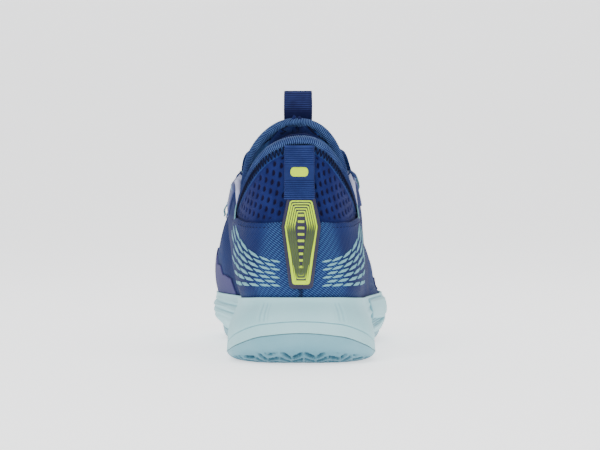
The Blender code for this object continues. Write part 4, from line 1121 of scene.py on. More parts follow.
def make_sock():
    def mask(t, v):
        return ramp(4.2, 5.0, half(t)) * ramp(9.0, 7.6, half(t)) * ramp(0.45, 0.7, v)

    rows = np.concatenate([[-0.9, -0.5, -0.2], np.linspace(0, 1, 44)])
    sheet, t, v = over(form, ROUND, between(level(0), level(1)), rows, mask)
    depth = -lining_depth(t, v)
    made = sheet.solid("inner_sock", depth, depth - SOCK_THICKNESS, SOCK)
    bends(made, "inner_sock", slot="sock_knit")


LATTICE_PITCH, LATTICE_TURN = 4.9, math.radians(13)


def dimples(x, y):
    """1 in the middle of each dimple of the collar's mesh, falling to 0 at its edge."""
    a = (x * math.cos(LATTICE_TURN) + y * math.sin(LATTICE_TURN)) / LATTICE_PITCH
    b = (-x * math.sin(LATTICE_TURN) + y * math.cos(LATTICE_TURN)) / LATTICE_PITCH
    a, b = (a % 1 - 0.5) * LATTICE_PITCH, (b % 1 - 0.5) * LATTICE_PITCH
    size = np.sqrt(((a - 0.12 * b**2) / 1.12) ** 2 + (b / 1.6) ** 2)
    return ramp(1.15, 0.75, size)


SIM_FRAMES = 20
CROWN_PRESSURE = 4.0
CROWN_CAP = 1.6  # the highest that the padding rises


def pillow(points, normals):
    """How far each point of a grid rises when it is blown up as cloth held at its edge."""
    rows, columns = points.shape[:2]
    edge = np.zeros((rows, columns), bool)
    edge[[0, -1]] = edge[:, [0, -1]] = True
    made = build("collar_crown", points.reshape(-1, 3), grid_quads(rows, columns), PANEL)
    group = made.vertex_groups.new(name="held")
    group.add(np.flatnonzero(edge.ravel()).tolist(), 1.0, "REPLACE")
    cloth = made.modifiers.new("inflate", "CLOTH")
    settings = cloth.settings
    settings.vertex_group_mass = "held"
    settings.use_pressure = True
    settings.uniform_pressure_force = CROWN_PRESSURE
    settings.tension_stiffness = settings.compression_stiffness = 12
    settings.effector_weights.gravity = 0
    cloth.point_cache.frame_start, cloth.point_cache.frame_end = 1, SIM_FRAMES
    scene = bpy.context.scene
    for step in range(1, SIM_FRAMES + 1):
        scene.frame_set(step)
    evaluated = made.evaluated_get(bpy.context.evaluated_depsgraph_get())
    moved = np.zeros(rows * columns * 3, np.float32)
    evaluated.data.vertices.foreach_get("co", moved)
    moved = moved.reshape(rows, columns, 3) / MM - [ORIGIN_X, 0, 0]
    scene.frame_set(1)
    bpy.data.objects.remove(made)
    return np.clip(((moved - points) * normals).sum(-1), 0, CROWN_CAP)


def resample(grid, rows, columns):
    """A coarse grid of values read at rows x columns places."""
    m, n = grid.shape
    i, j = np.linspace(0, m - 1, rows), np.linspace(0, n - 1, columns)
    across = np.stack([np.interp(j, np.arange(n), row) for row in grid])
    return np.stack([np.interp(i, np.arange(m), across[:, k]) for k in range(columns)], 1)


PANEL_ENDS = 4.5  # the panel's last station on each side


def below_rim(t, drop):
    """v at a distance below the rim, along the profile."""
    return 1 - drop / (np.linalg.norm(form(t, 1.0) - form(t, 0.9), axis=-1) / 0.1)


def panel_mask(t, v):
    """1 in the panel's dimples, which sink and take painted shade, and below 0 on the tape along the rim."""
    drop = (1 - v) * np.linalg.norm(form(t, 1.0) - form(t, 0.9), axis=-1) / 0.1
    holes = dimples(np.abs(arc_of(t)), form(t, v)[..., 2])
    holes = holes * ramp(0.02, 0.05, v - shell_edge(t)) * ramp(7.0, 8.4, drop)
    return holes - 0.6 * ramp(6.9, 6.5, drop)


def make_collar_panel():
    """The dotted mesh round the heel, with the crown that its padding gives it."""
    ts, rows = np.arange(-PANEL_ENDS, PANEL_ENDS + 0.01, 0.022), np.linspace(0, 1, 130)
    v_of = between(lambda t: shell_edge(t) - 0.06, level(0.995))
    sheet = over(form, ts, v_of, rows, panel_mask)[0]
    t, r = lattice(np.linspace(ts[0], ts[-1], 44), np.linspace(0, 1, 22))
    v = v_of(t, r)
    crown = resample(pillow(form(t, v), normal_of(form, t, v)), len(ts), len(rows))
    made = sheet.solid("collar_panel", -0.9 + crown - 0.75 * sheet.coords[..., 2], -2.4, PANEL)
    rides(made, "rearfoot", "heel_collar_panel", "collar_foam", slot="collar_mesh")


TONGUE_START, TONGUE_END = 7.3, 12.3
TONGUE_LOW = 0.52
TONGUE_LEAN = np.array((-0.3, 0.8, 0.52))  # the way the tongue faces just below its top edge


def make_tongue():
    """The padded front of the knitted tongue, up to the ridge from each side."""
    halves = []
    for number, medial in enumerate((False, True)):
        start, end = (AROUND - TONGUE_END, AROUND - TONGUE_START) if medial else (TONGUE_START, TONGUE_END)
        span = between(level(TONGUE_LOW), level(0.998))
        sheet, t, v = over(form, np.arange(start, end, 0.04), span, np.linspace(0, 1, 60))
        h = half(t)
        share = sheet.pick(ramp(8.4, 8.8, h) * ramp(9.5, 9.15, h))[:, None]
        sheet.normals = unit(sheet.normals * (1 - share) + TONGUE_LEAN * share)
        edge = ramp(TONGUE_LOW, TONGUE_LOW + 0.2, v) * ramp(TONGUE_START, 8.6, h) * ramp(TONGUE_END, 11.7, h)
        depth = lining_depth(t, v)
        outer = -0.7 - (1 - edge) * (depth - 0.5)
        halves.append(sheet.solid(f"tongue_half_{number}", outer, -depth + 0.1, TONGUE_KNIT))
    made = merge("tongue_cover", halves)
    bends(made, "tongue_cover", "tongue_foam", slot="sock_knit")


def circular_mean(values, reach):
    """Each row averaged with its neighbours on a closed line."""
    padded = np.concatenate([values[-reach:], values, values[:reach]])
    weights = np.hanning(2 * reach + 3)[1:-1]
    return np.stack([np.convolve(column, weights / weights.sum(), "valid") for column in padded.T], 1)


def rim_line(count):
    """Evenly spaced points of the collar's rim, with the outward and upward ways and the lining's depth."""
    ts = np.concatenate([np.arange(0, TONGUE_TOP, 0.02), np.arange(AROUND - TONGUE_TOP, AROUND, 0.02)])
    normal = circular_mean(normal_of(form, ts, 0.985), 14)
    values = np.column_stack([form(ts, 1.0), normal, lining_depth(ts, 1.0) + SOCK_THICKNESS])
    closed = np.concatenate([values, values[:1]])
    far = travelled(closed[:, :3])
    want = np.linspace(0, far[-1], count, endpoint=False)
    values = read_at(want, far, closed)
    rim, normal = circular_mean(values[:, :3], 6), circular_mean(values[:, 3:6], 12)
    along = unit(np.roll(rim, -1, 0) - np.roll(rim, 1, 0))
    level_out = circular_mean(unit(np.cross(along, (0, 0, 1))), 20)
    share = 0.75 + 0.25 * ramp(-60, -44, rim[:, 1])[:, None]
    normal = normal * (1 - share) + level_out * share
    normal = unit(normal - along * (normal * along).sum(1, keepdims=True))
    return rim, normal, np.cross(normal, along), values[:, 6], want, far[-1]


RIB_PITCH = 1.1
RIB_SLANT = 0.28  # how far a rib runs on along the rim for each mm round the band
BAND_HALF, BAND_SIDES = 2.4, 30  # half its height, and the sides of its section


def make_binding():
    rim, normal, away, depth, want, length = rim_line(2400)
    middle = rim - normal * (depth / 2 - 0.2)[:, None] - away * 0.15
    angles = (np.arange(BAND_SIDES) + 0.5) * 2 * np.pi / BAND_SIDES
    turns = round(length / RIB_PITCH)
    round_band = np.minimum(angles, 2 * np.pi - angles)[None] * 3.0
    phase = 2 * np.pi * (turns * want[:, None] / length + RIB_SLANT * round_band / RIB_PITCH)
    rib = 0.5 + 0.5 * np.cos(phase)
    wide = (depth / 2 + 0.7)[:, None] + 0.36 * rib
    tall = BAND_HALF + 0.3 * rib
    points = (
        middle[:, None]
        + normal[:, None] * (wide * np.cos(angles))[..., None]
        + away[:, None] * (tall * np.sin(angles))[..., None]
    )
    quads = grid_quads(len(want), len(angles), wrap_rows=True, wrap_columns=True)
    u, w = np.broadcast_to(want[:, None], rib.shape), np.broadcast_to(angles * 4, rib.shape)
    coords = np.stack([u, w, rib], -1).reshape(-1, 3)[quads]
    made = build("collar_binding", points.reshape(-1, 3), quads, RIB, coords, 80)
    flip_if_inside_out(made)
    rides(made, "rearfoot", "collar_binding", slot="rib_knit")


def flip_if_inside_out(piece):
    """Turns a closed mesh's faces outwards."""
    work = bmesh.new()
    work.from_mesh(piece.data)
    if work.calc_volume(signed=True) < 0:
        bmesh.ops.reverse_faces(work, faces=work.faces)
        work.to_mesh(piece.data)
    work.free()


ZIGZAG = (2.2, 6.2)  # how far below the rim the seam's legs start and end
ZIGZAG_STEP = 1.15


def make_zigzag():
    """The zig-zag seam that holds the binding, outside round the heel and inside all the way round."""

    def outside(t, v):
        return lifted(form, t, v, np.where(half(t) < PANEL_ENDS, 0.3, -lining_depth(t, v) + 0.25))

    def inside(t, v):
        points, normal = lifted(form, t, v, -lining_depth(t, v) - SOCK_THICKNESS - 0.15)
        return points, -normal

    solids = []
    leg = np.linspace(0, 1, 4)[:, None]
    runs = ((-4.4, 4.4, 400, outside), (0.6, 8.9, 300, inside), (-8.9, -0.6, 300, inside))
    for start, end, count, surface in runs:
        ts = np.linspace(start, end, count)
        far = travelled(form(ts, 1.0))
        t = np.interp(np.arange(0, far[-1], ZIGZAG_STEP), far, ts)
        points, ups = surface(t, below_rim(t, np.where(np.arange(len(t)) % 2, ZIGZAG[1], ZIGZAG[0])))
        for k in range(len(points) - 1):
            line, up = (ends[k] * (1 - leg) + ends[k + 1] * leg for ends in (points, ups))
            line = line + up * (0.25 * np.sin(np.pi * leg))
            solids.append(sweep(line, up, round_section(0.62, 0.5)))
    rides(build("binding_seam", *joined(solids), THREAD_DARK), "rearfoot", slot="rib_knit")


# ---------------------------------------------------------------- overlays and flaps


GUARD_STEP = 0.085


def guard_top(t):
    """The film's upper edge, in steps on the medial forefoot."""
    height = smooth((0, 12.6, 16, 20, 23, 25.2, 27.4), (0.10, 0.16, 0.36, 0.42, 0.46, 0.50, 0.14), t)
    steps = np.round(height / GUARD_STEP) * GUARD_STEP
    blend = ramp(22.6, 23.4, t) * ramp(27.5, 26.9, t)
    return height * (1 - blend) + (height * 0.25 + steps * 0.75) * blend


def guard_mask(t, v):
    return ramp(0.0, 0.75, v / guard_top(t)) * 0.5 + 0.5 * ramp(24.5, 26, t)


def make_drag_guard():
    low = SHELL_THICKNESS + 2 * GAP
    ts, rows = np.arange(12.6, AROUND - 10.59, 0.03), np.linspace(0, 1, 30)
    sheet = over(flared_form, ts, between(level(0.02), guard_top), rows, guard_mask)[0]
    made = sheet.solid("forefoot_drag_guard", low + 0.3, low - 0.8, FILM)
    bends(made, "forefoot_drag_guard", slot="drag_film")


TOE_GUARD_START, TOE_GUARD_TOP = 15.5, 0.30


def make_toe_guard():
    low = SHELL_THICKNESS + 1.5
    start, end = TOE_GUARD_START, AROUND - TOE_GUARD_START
    span = between(level(0.02), level(TOE_GUARD_TOP))
    sheet, t, v = over(flared_form, np.arange(start, end + 0.01, 0.03), span, np.linspace(0, 1, 34))
    edge = ramp(start, start + 0.4, t) * ramp(end, end - 0.4, t)
    edge = edge * ramp(0.02, 0.06, v) * ramp(TOE_GUARD_TOP, TOE_GUARD_TOP - 0.06, v)
    ribs = 0.4 * np.abs(np.sin(np.pi * (v / 0.055 + 0.25 * np.sin(t * 9)))) ** 3
    made = sheet.solid("toe_guard", low + (1.0 + ribs) * edge, low - 1.0, TOE_RUBBER, sharp=60)
    bends(made, "toe_guard", slot="toe_rubber")


def below_edge(t, distance):
    """v at a distance below the shell's edge, measured along the profile."""
    t = np.asarray(t, float)
    v = shell_edge(t)
    speed = np.linalg.norm(flared_form(t, v) - flared_form(t, v - 0.1), axis=-1) / 0.1
    return v - distance / speed


FLAPS = (("lateral", False, 6.4), ("medial", True, 5.9))  # each flap's name, side and first station
STAY_DEPTH = 13.0  # how far an eyestay reaches down from the flap's edge


def side_run(low, high, medial, step=0.04):
    ts = np.arange(low, high + 1e-6, step)
    return (AROUND - ts)[::-1] if medial else ts


def stay_mask(t, v):
    return 0.35 + 0.5 * ramp(0.0, 0.3, shell_edge(t) - v)


def make_eyestays():
    outer = SHELL_THICKNESS + GAP
    span = between(lambda t: below_edge(t, STAY_DEPTH), lambda t: below_edge(t, 0.2))
    for name, medial, start in FLAPS:
        ts = side_run(start, 12.2, medial)
        sheet = over(flared_form, ts, span, np.linspace(0, 1, 26), stay_mask)[0]
        made = sheet.solid(f"{name}_eyestay", outer + 0.75, outer - 0.6, STAY)
        bends(made, f"{name}_eyestay", slot="eyestay")
        run = np.linspace(ts[4], ts[-4], 160)
        seams = [lifted(flared_form, run, below_edge(run, drop), outer + 0.8) for drop in (1.8, 11.6)]
        solid = joined([stitch_run(*seam) for seam in seams])
        bends(build(f"{name}_eyestay_stitching", *solid, THREAD_BLUE), slot="eyestay")


def make_facings():
    """The pale cloth inside each flap, with its piped edge."""
    span = between(lambda t: below_edge(t, 17.0), lambda t: below_edge(t, -1.0))
    rows = np.concatenate([np.linspace(0, 0.9, 24), np.linspace(0.91, 1, 14)])
    piping = ramp(0.945, 0.96, rows)[None]
    thick = (0.4 * np.sin(np.pi * rows) + 1.5 * ramp(0.5, 0.9, rows))[None]
    for name, medial, _ in FLAPS:
        sheet = over(flared_form, side_run(5.2, 7.8, medial, 0.03), span, rows)[0]
        made = sheet.solid(f"{name}_flap_facing", -0.1 + 1.2 * piping, -1.3 - thick, FACING_PAINT)
        rides(made, "rearfoot", f"{name}_flap_facing", slot="facing")


# ---------------------------------------------------------------- lacing

LACE_WIDTH, LACE_THICKNESS = 5.2, 1.1
LACE_STATIONS = [12.0, 11.45, 10.9, 10.35, 9.8, 8.3]  # the rows of loops, from the toe up
LACE_BESIDE, LACE_LIFT = 6.8, 2.9  # where the lace runs through a loop: below the flap's edge, off the shell
LOOP_REACH = 0.2  # how far either side of a loop the lace stays straight, in stations
AGLET_LENGTH = 9.0
# How high the lace stands off the tongue between a flap and the middle: share of the way there, lift.
CROSSING, CROSSING_MIDDLE = ((0.05, 4.6), (0.5, 3.6)), 3.2
TOP_CROSSING = ((0.09, 6.2), (0.34, 4.8), (0.64, 3.4))
FIRST_BAR = ((0.1, 4.2), (0.6, 3.4), (1.0, 3.0))
MEDIAL_OVER = 2.0  # a crossing that starts on the medial side passes over the other by this much
TUCK_OVER = ((2.3, 1.5), (0.2, 2.5), (-2.2, 1.6))  # how an end turns over a flap's edge: lift, how far beyond
TUCK_DOWN = (4.0, 9.0, 14.0)  # and how far below the edge it then goes


def on_side(h, medial):
    return AROUND - h if medial else h


def across_edge(t):
    """The direction up the profile, across the flap's edge."""
    v = below_edge(t, 7.0)
    return unit(flared_form(t, v + 0.05) - flared_form(t, v - 0.05))


def on_eyestay(h, medial, beside, lift):
    """A point and its outward direction over the eyestay, at a distance beside its edge."""
    t = on_side(h, medial)
    return lifted(flared_form, t, below_edge(t, beside), lift)


def over_tongue(h, medial, share, lift):
    """A point and its outward direction over the tongue. share is 0 at the flap's edge, 1 at the middle."""
    t = on_side(max(h, COVER_START + 0.4 * share), medial)
    edge = shell_edge(t)
    point, normal = lifted(form, t, edge + (1 - edge) * share, lift)
    return point + (flared_form(t, edge) - form(t, edge)) * (1 - share) ** 2, normal


def crossing(row, medial):
    """The lace from one side's loop up to the next row's loop on the other side, the medial branch on top."""
    start, stop = LACE_STATIONS[row] - LOOP_REACH, LACE_STATIONS[row + 1] + LOOP_REACH
    lift_over = MEDIAL_OVER if medial else 0.0
    points, far = [], []
    for share, lift in TOP_CROSSING if row == len(LACE_STATIONS) - 2 else CROSSING:
        lift = lift + lift_over * min(2 * share, 1)
        along = (stop - start) * share / 2
        points.append(over_tongue(start + along, medial, share, lift))
        far.append(over_tongue(stop - along, not medial, share, lift))
    middle = over_tongue((start + stop) / 2, medial, 1.0, CROSSING_MIDDLE + lift_over)
    return points + [middle] + far[::-1]


def through_loop(row, medial):
    h = LACE_STATIONS[row]
    return [on_eyestay(h + d, medial, LACE_BESIDE, LACE_LIFT) for d in (LOOP_REACH, -LOOP_REACH)]


def tucked_end(medial):
    """From the top loop over the flap's edge and down between the flap and the sock."""
    h = LACE_STATIONS[-1] - 0.62
    t = on_side(h, medial)
    away = across_edge(t)
    points = [on_eyestay(h + 0.14, medial, 3.0, LACE_LIFT + 0.4)]
    for lift, beyond in TUCK_OVER:
        edge, normal = on_eyestay(h, medial, 0, lift)
        points.append((edge + away * beyond, away + normal * lift / 4))
    for below in TUCK_DOWN:
        v = below_edge(t, below)
        middle = (flared_form(t, v) + form(t, v) - normal_of(form, t, v) * 0.6) / 2
        points.append((middle, -normal_of(flared_form, t, v)))
    return points


def lace_branch(medial):
    route = through_loop(0, medial)
    for row in range(len(LACE_STATIONS) - 1):
        route += crossing(row, medial)
        medial = not medial
        route += through_loop(row + 1, medial)
    return route + tucked_end(medial)


def lace_route():
    h = LACE_STATIONS[0] + LOOP_REACH + 0.1
    bar = [over_tongue(h, True, *step) for step in FIRST_BAR[:-1]]
    bar += [over_tongue(h, False, *step) for step in FIRST_BAR[::-1]]
    return lace_branch(True)[::-1] + bar + lace_branch(False)


def swept_coords(points, quads, count, width, mask=0.0):
    """Cloth coordinates of a swept band: along it, round its section, and a mask."""
    u = np.repeat(travelled(points), count)
    w = np.tile(np.linspace(0, 2 * width, count), len(points))
    m = np.broadcast_to(mask, (len(points), count)).ravel()
    return np.stack([u, w, m], -1)[quads]


def rounded(route, reach=6):
    """A route with its tight corners eased and its ends kept."""
    weight = np.exp(-np.linspace(-2, 2, 2 * reach + 1) ** 2)
    padded = np.pad(route, ((reach, reach), (0, 0)), mode="reflect", reflect_type="odd")
    return np.stack([np.convolve(part, weight / weight.sum(), mode="valid") for part in padded.T], -1)


def both_faces(upper):
    """A closed section from its upper points, with the lower ones opposite them."""
    return np.concatenate([upper, -np.array(upper)])


LACE_SECTION = both_faces([
    (0.5, -0.1), (0.5, 0.1), (0.42, 0.42), (0.25, 0.5), (0, 0.44), (-0.25, 0.5), (-0.42, 0.42),
])
AGLET_PROFILE = ((-1, -0.6, 0, 7.6, 8.6, AGLET_LENGTH), (0.92, 1.0, 0.94, 0.9, 0.8, 0.45))


def make_lace():
    points, ups = (np.array([np.ravel(p) for p in part]) for part in zip(*lace_route()))
    fine, up = (rounded(spline(part, 900)) for part in (points, ups))
    band, quads = sweep(fine, up, LACE_SECTION * [LACE_WIDTH, LACE_THICKNESS])
    made = build("lace", band, quads, LACE, swept_coords(fine, quads, len(LACE_SECTION), LACE_WIDTH))
    bends(made, "lace", slot="lace")
    places = np.linspace(-1.0, AGLET_LENGTH, 24)
    scale = np.interp(places, *AGLET_PROFILE) * (1 - 0.06 * (np.abs(places - 1.2) < 0.5))
    ends = (("lateral_aglet", fine[0], fine[4], up[0]), ("medial_aglet", fine[-1], fine[-5], up[-1]))
    for name, end, before, tilt in ends:
        line = end + unit(end - before) * places[:, None]
        tube, faces = sweep(line, np.repeat(tilt[None], 24, 0), round_section(3.4, 1.7, 16), scale)
        rides(build(name, tube, faces, AGLET), "rearfoot", name, slot="aglet")


# A lace loop's profile, from its middle to each side: distance and height.
ARCH = [(2.6, 2.3), (4.2, 1.8), (5.1, 1.0), (6.0, 0.2), (7.0, 0.0)]
ARCH = [(-a, b) for a, b in ARCH[::-1]] + [(0, 2.45)] + ARCH
LOOP_SECTION = both_faces([(2.3, -0.1), (2.3, 0.1), (2.0, 0.32), (0, 0.36), (-2.0, 0.32)])
LOOP_LENGTH = 26


def make_lace_loops():
    """Webbing loops sewn on the eyestays, which the lace runs through."""
    rib = 0.5 + 0.5 * np.cos(2 * np.pi * np.linspace(0, 1, 70) * LOOP_LENGTH / RIB_PITCH)
    for side_name, medial, _ in FLAPS:
        for row, h in enumerate(LACE_STATIONS):
            centre, normal = on_eyestay(h, medial, LACE_BESIDE, SHELL_THICKNESS + GAP + 0.9)
            across = across_edge(on_side(h, medial))
            line = spline([centre + across * a + normal * (b + 0.2) for a, b in ARCH], len(rib))
            along = np.gradient(line, axis=0)
            normals = np.cross(np.cross(along, normal), along)
            if ((line - centre - normal) * normals).sum(1).mean() < 0:
                normals = -normals
            tube, faces = sweep(line, normals, LOOP_SECTION, 0.97 + 0.03 * rib)
            coords = swept_coords(line, faces, len(LOOP_SECTION), 4.6, rib[:, None])
            name = f"{side_name}_lace_loop_{row + 1}"
            bends(build(name, tube, faces, LACE_LOOP, coords), name, slot="webbing")


# ---------------------------------------------------------------- heel and tongue trim


def heel_sheet(x, z, marks):
    """A sheet on the back of the heel over grids of x and z."""
    t, v = at_place(x, z)
    sheet = Sheet(form(t, v), np.stack([x, z, np.broadcast_to(marks, x.shape)], -1))
    if sheet.normals[:, 1].mean() > 0:
        sheet.flip()
    return sheet


TAB_MIDDLE, TAB_HALF_WIDTH = -0.9, 7.4
TAB_LOW, TAB_HIGH = 88.0, 117.4
TAB_SMOOTH = (98.5, 107.5)  # the heights between which the emblem takes the place of the ribs


def make_heel_tab():
    z = np.linspace(TAB_LOW, TAB_HIGH, 190)
    x = TAB_MIDDLE + TAB_HALF_WIDTH * np.linspace(-1, 1, 22)
    x, z = lattice(x, z)
    low, high = TAB_SMOOTH
    ribbed = np.maximum(ramp(low + 0.4, low - 0.4, z), ramp(high - 0.4, high + 0.4, z))
    rib = (0.5 + 0.5 * np.cos(2 * np.pi * z / 1.15)) * ribbed + 0.55 * (1 - ribbed)
    sheet = heel_sheet(x, z, rib)
    edge = ramp(0, 1.0, TAB_HALF_WIDTH - np.abs(x - TAB_MIDDLE))
    made = sheet.solid("heel_pull_tab", 2.6 + 0.34 * rib + 0.25 * edge, 1.2, WEBBING)
    rides(made, "rearfoot", "heel_pull_tab", slot="webbing")
    pill_x, pill_z = lattice(np.linspace(-1, 1, 30), np.linspace(-1, 1, 16))
    reach = np.sqrt(np.clip(1 - np.abs(pill_z) ** 2.4, 0, 1)) * 0.35 + 0.65
    sheet = heel_sheet(TAB_MIDDLE + 4.4 * pill_x * reach, 103.2 + 2.4 * pill_z, 1.0)
    crown = 0.35 * (1 - np.maximum(np.abs(pill_x), np.abs(pill_z)) ** 3)
    made = sheet.solid("tab_emblem", 3.35 + crown, 2.4, LIME_PRINT)
    rides(made, "rearfoot", "tab_emblem", slot="emblem")


BADGE_CORNERS = [(5.3, 41.7), (9.5, 73.5), (6.6, 89.3)]  # half width and height, from the foot up
BADGE_LOW, BADGE_HIGH = BADGE_CORNERS[0][1], BADGE_CORNERS[-1][1]
CORNER_RADIUS = 1.5
END_SPREAD = 1.3  # the nested outlines are this much further apart at the badge's ends
RING_INSETS = (1.5, 2.6, 3.7, 4.8, 5.9)
BAR_HEIGHTS = np.linspace(52, 79, 9)
BADGE_LIFT = SHELL_THICKNESS + 1.25


def badge_depth(x, z):
    """How far a place lies inside the badge's slanting sides."""
    depths = []
    for (x0, z0), (x1, z1) in zip(BADGE_CORNERS, BADGE_CORNERS[1:]):
        length = math.hypot(x1 - x0, z1 - z0)
        depths.append(((x0 - np.abs(x)) * (z1 - z0) + (z - z0) * (x1 - x0)) / length)
    return np.minimum(*depths)


def badge_half_width(z, inset=0.0):
    """Half width of the badge's outline, moved in by an inset and rounded at its corners."""
    widths = []
    for (x0, z0), (x1, z1) in zip(BADGE_CORNERS, BADGE_CORNERS[1:]):
        length = math.hypot(x1 - x0, z1 - z0)
        widths.append(x0 + ((z - z0) * (x1 - x0) - inset * length) / (z1 - z0))
    near_end = np.minimum(z - BADGE_LOW, BADGE_HIGH - z) - END_SPREAD * inset
    radius = max(CORNER_RADIUS - 0.2 * inset, 0.4)
    rounding = radius - np.sqrt(np.clip(radius**2 - np.clip(radius - near_end, 0, radius) ** 2, 0, None))
    return np.maximum(np.minimum(*widths) - rounding, 0.2)


def badge_heights(inset, count):
    """Heights up the badge, close together at its ends."""
    low, high = BADGE_LOW + END_SPREAD * inset, BADGE_HIGH - END_SPREAD * inset
    ends = np.array([0, 0.12, 0.35, 0.7, 1.1])
    return np.concatenate([low + ends, np.linspace(low + 1.5, high - 1.5, count), high - ends[::-1]])


def make_badge():
    x, z = lattice(np.linspace(-1, 1, 70), badge_heights(0, 110))
    x = x * badge_half_width(z)
    depth = badge_depth(x, z)
    first, last = RING_INSETS[0], RING_INSETS[-1]
    band = ramp(first - 0.3, first, depth) * ramp(last + 0.4, last + 0.1, depth)
    band = band * ramp(75, 68, z) * ramp(46, 49, z)
    sheet = heel_sheet(x, z, 0.9 * band)
    edge = np.minimum(np.minimum(depth, z - BADGE_LOW), BADGE_HIGH - z)
    lift = BADGE_LIFT + 0.3 * ramp(1.1, 0.6, edge)
    made = sheet.solid("heel_badge", lift, BADGE_LIFT - 1.6, BADGE, sharp=60)
    rides(made, "rearfoot", "heel_badge", slot="badge")
    lines = [badge_ring(number, inset) for number, inset in enumerate(RING_INSETS)]
    made = merge("badge_lines", lines + badge_bars())
    rides(made, "rearfoot", slot="badge")


def raised_line(name, outline, width, marks, closed=True):
    """A raised line on the badge along points of x and z."""
    d = unit(np.roll(outline, -1, 0) - np.roll(outline, 1, 0) if closed else np.gradient(outline, axis=0))
    n = np.stack([d[:, 1], -d[:, 0]], 1)
    width = np.broadcast_to(width, (len(outline),))
    if closed:
        outline, n, marks, width = (np.concatenate([a, a[:1]]) for a in (outline, n, marks, width))
    across = np.linspace(0, 1, 4) * width[:, None]
    x, z = (outline[:, k, None] - n[:, k, None] * across for k in (0, 1))
    return heel_sheet(x, z, marks[:, None]).solid(name, BADGE_LIFT + 0.25, BADGE_LIFT - 0.3, LIME_PRINT)


def badge_ring(number, inset):
    """One of the badge's nested outlines. The outermost widens towards its foot."""
    z = badge_heights(inset, 60)
    x = badge_half_width(z, inset)
    outline = np.concatenate([np.stack([x, z], 1), np.stack([-x, z], 1)[::-1]])
    z = outline[:, 1]
    if number:
        marks = np.maximum(ramp(70, 77, z), ramp(50, 45, z))
        return raised_line(f"badge_line_{number}", outline, 0.38, marks)
    widths = 0.5 + 1.4 * ramp(70, 44, z)
    return raised_line("badge_line_0", outline, widths, np.ones(len(z)))


def badge_bars():
    """A column of short plain bars down the middle of the badge."""
    bars = []
    for k, z in enumerate(BAR_HEIGHTS):
        reach = np.clip(badge_half_width(z, 6.7), 0.9, 1.5)
        outline = np.stack([np.linspace(-reach, reach, 6), np.full(6, z)], 1)
        bars.append(raised_line(f"badge_bar_{k}", outline, 1.0, np.full(6, 0.8), closed=False))
    return bars


def make_back_seam():
    """The short stitched seam under the badge."""
    z = np.linspace(36.4, BADGE_LOW + 0.6, 30)
    sides, middle = (
        [lifted(form, *at_place(np.full(30, x), z), SHELL_THICKNESS + lift) for x in places]
        for places, lift in (((-0.9, 0.9), 0.15), ((0,), -0.05))
    )
    solids = [stitch_run(*line, pitch=1.7, length=1.2, radius=0.2) for line in sides]
    solids.append(sweep(*middle[0], round_section(0.7, 0.5)))
    rides(build("back_seam", *joined(solids), THREAD_DARK), "rearfoot", slot="woven_shell")


def make_edge_stitching():
    """The row of stitches along the woven shell's top edge, on each side of the badge."""
    run = np.linspace(-4.3, 4.3, 500)
    line, normal = lifted(flared_form, run, below_edge(run, 2.2), SHELL_THICKNESS + 0.25)
    solids = []
    for part in (arc_of(run) > 11.5, arc_of(run) < -11.5):
        solids.append(stitch_run(line[part], normal[part], pitch=2.6, length=1.9, radius=0.2))
    rides(build("shell_edge_stitching", *joined(solids), THREAD_DARK), "rearfoot", slot="woven_shell")


LOOP_BASE = np.array((-1.8, -27.6, 132.4))  # the middle of the pull loop's foot
LOOP_HEIGHT, LOOP_HALF_WIDTH = 21.0, 8.0
# One side of the pull loop, pinched at its foot: distance from its middle, and height as a share.
LOOP_PROFILE = [(0.5, 0), (1.6, 0.14), (2.7, 0.34), (3.3, 0.6), (3.0, 0.82), (1.9, 0.965)]


def make_pull_loop():
    """The webbing loop that stands up from the tongue, pinched together at its foot."""
    outline = LOOP_PROFILE + [(0, 1)] + [(-y, s) for y, s in LOOP_PROFILE[::-1]]
    line = spline([LOOP_BASE + (0, y, s * LOOP_HEIGHT) for y, s in outline], 200)
    far = travelled(line)
    height = (line[:, 2] - LOOP_BASE[2]) / LOOP_HEIGHT
    rib = ((0.5 + 0.5 * np.cos(2 * np.pi * far / RIB_PITCH)) * ramp(0.25, 0.7, height) + 0.1)[:, None]
    across = np.linspace(-1, 1, 24) * LOOP_HALF_WIDTH
    x = line[:, :1] + across * (1 + 0.02 * np.sin(np.pi * height))[:, None]
    y, z, u, w, ribs = np.broadcast_arrays(line[:, 1:2], line[:, 2:], far[:, None], across, rib)
    sheet = Sheet(np.stack([x, y, z], -1), np.stack([u, w, ribs], -1))
    if sheet.normals[sheet.points[:, 2].argmax(), 2] < 0:
        sheet.flip()
    made = sheet.solid("tongue_pull_loop", 0.55 + 0.22 * rib, -0.5, LOOP_WEBBING)
    rides(made, "tongue_loop", "tongue_pull_loop", slot="loop_webbing")


# ---------------------------------------------------------------- the rest


def paint_hidden_nodes():
    """The CAD's own shapes of the stiffeners inside stay, in the colours of what they are made of."""
    for name, material in (("midfoot_shank", SHANK), ("heel_counter", STIFFENER), ("toe_puff", STIFFENER)):
        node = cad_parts[name]
        node.data.materials.clear()
        node.data.materials.append(material)


BACKDROP_BEND = 1.2  # radius
FLOOR_FRONT, FLOOR_BACK, FLOOR_SIDE, BACKDROP_TOP = -4.0, 2.2, 5.0, 4.0


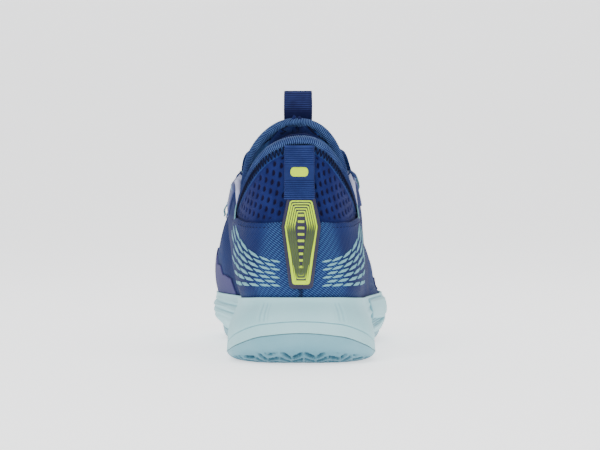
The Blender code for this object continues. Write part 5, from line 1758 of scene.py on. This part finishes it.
def make_stage():
    """A pale floor that curves up behind into a backdrop, in metres."""
    bend = np.linspace(0.1, math.pi / 2, 14)
    profile = [(FLOOR_FRONT, 0.0), (FLOOR_BACK, 0.0)]
    profile += [(FLOOR_BACK + BACKDROP_BEND * math.sin(a), BACKDROP_BEND * (1 - math.cos(a))) for a in bend]
    profile.append((FLOOR_BACK + BACKDROP_BEND, BACKDROP_TOP))
    flat = np.array([(x, y, z) for x in (-FLOOR_SIDE, FLOOR_SIDE) for y, z in profile]) / MM
    material = Paint("studio_floor", (0.86, 0.86, 0.87), 0.9)
    grain = material.noise(material.place(), 0.004, 3)
    material.set("Base Color", material.mix(grain, (0.84, 0.84, 0.85), (0.89, 0.89, 0.895)))
    material.set("Emission Color", (1, 1, 1, 1))
    material.set("Emission Strength", 1.15)
    floor = build("studio_floor", flat, grid_quads(2, len(profile))[:, ::-1], material.made, sharp=80)


# Each light's name, place, size and power.
LIGHTS = (
    ("key", (-0.7, -1.5, 1.3), 1.1, 24),
    ("fill", (1.2, -1.1, 0.8), 1.3, 9),
    ("over", (0.1, 0.3, 1.8), 1.6, 15),
)
SKY, SKY_STRENGTH = (0.93, 0.95, 1.0, 1), 0.56


def make_light():
    """Three soft lights aimed at the shoe, and an even sky."""
    low, high = CAD_BOX
    for name, place, size, power in LIGHTS:
        data = bpy.data.lights.new(name, "AREA")
        data.shape, data.size, data.energy = "DISK", size, power
        light = bpy.data.objects.new(name, data)
        light.location = place
        light.rotation_euler = ((low + high) / 2 - Vector(place)).to_track_quat("-Z", "Y").to_euler()
        bpy.context.scene.collection.objects.link(light)
    world = bpy.data.worlds.new("studio")
    world.use_nodes = True
    background = world.node_tree.nodes["Background"].inputs
    background["Color"].default_value, background["Strength"].default_value = SKY, SKY_STRENGTH
    bpy.context.scene.world = world


CAMERA_BEHIND, CAMERA_HEIGHT = 0.9, 0.0817  # metres behind the heel and above the ground
CAMERA_LENS, CAMERA_DIP, CAMERA_TURN = 102.5, 0.44, 0.035  # millimetres, degrees down and degrees left


def make_camera():
    """A long lens behind the heel, at about the middle of the shoe's height."""
    data = bpy.data.cameras.new("camera")
    data.sensor_width, data.lens, data.clip_start = 36.0, CAMERA_LENS, 0.05
    camera = bpy.data.objects.new("camera", data)
    camera.location = (ORIGIN_X * MM, CAD_BOX[0].y - CAMERA_BEHIND, CAMERA_HEIGHT)
    camera.rotation_euler = (math.radians(90 - CAMERA_DIP), 0, math.radians(CAMERA_TURN))
    bpy.context.scene.collection.objects.link(camera)
    bpy.context.scene.camera = camera


def main():
    make_midsole()
    make_outsole()
    make_outrigger()
    make_board("strobel_board", 2.7, GAP, STROBEL_TOP, 0.0, BOARD, "board")
    make_board("insole", 6.8, STROBEL_TOP + GAP, 5.0, 2.0, INSOLE, "insole")
    make_shell()
    make_dashes()
    make_sock()
    make_collar_panel()
    make_tongue()
    make_binding()
    make_zigzag()
    make_drag_guard()
    make_toe_guard()
    make_eyestays()
    make_facings()
    make_lace()
    make_lace_loops()
    make_heel_tab()
    make_badge()
    make_back_seam()
    make_edge_stitching()
    make_pull_loop()
    paint_hidden_nodes()
    make_stage()
    make_light()
    make_camera()


main()
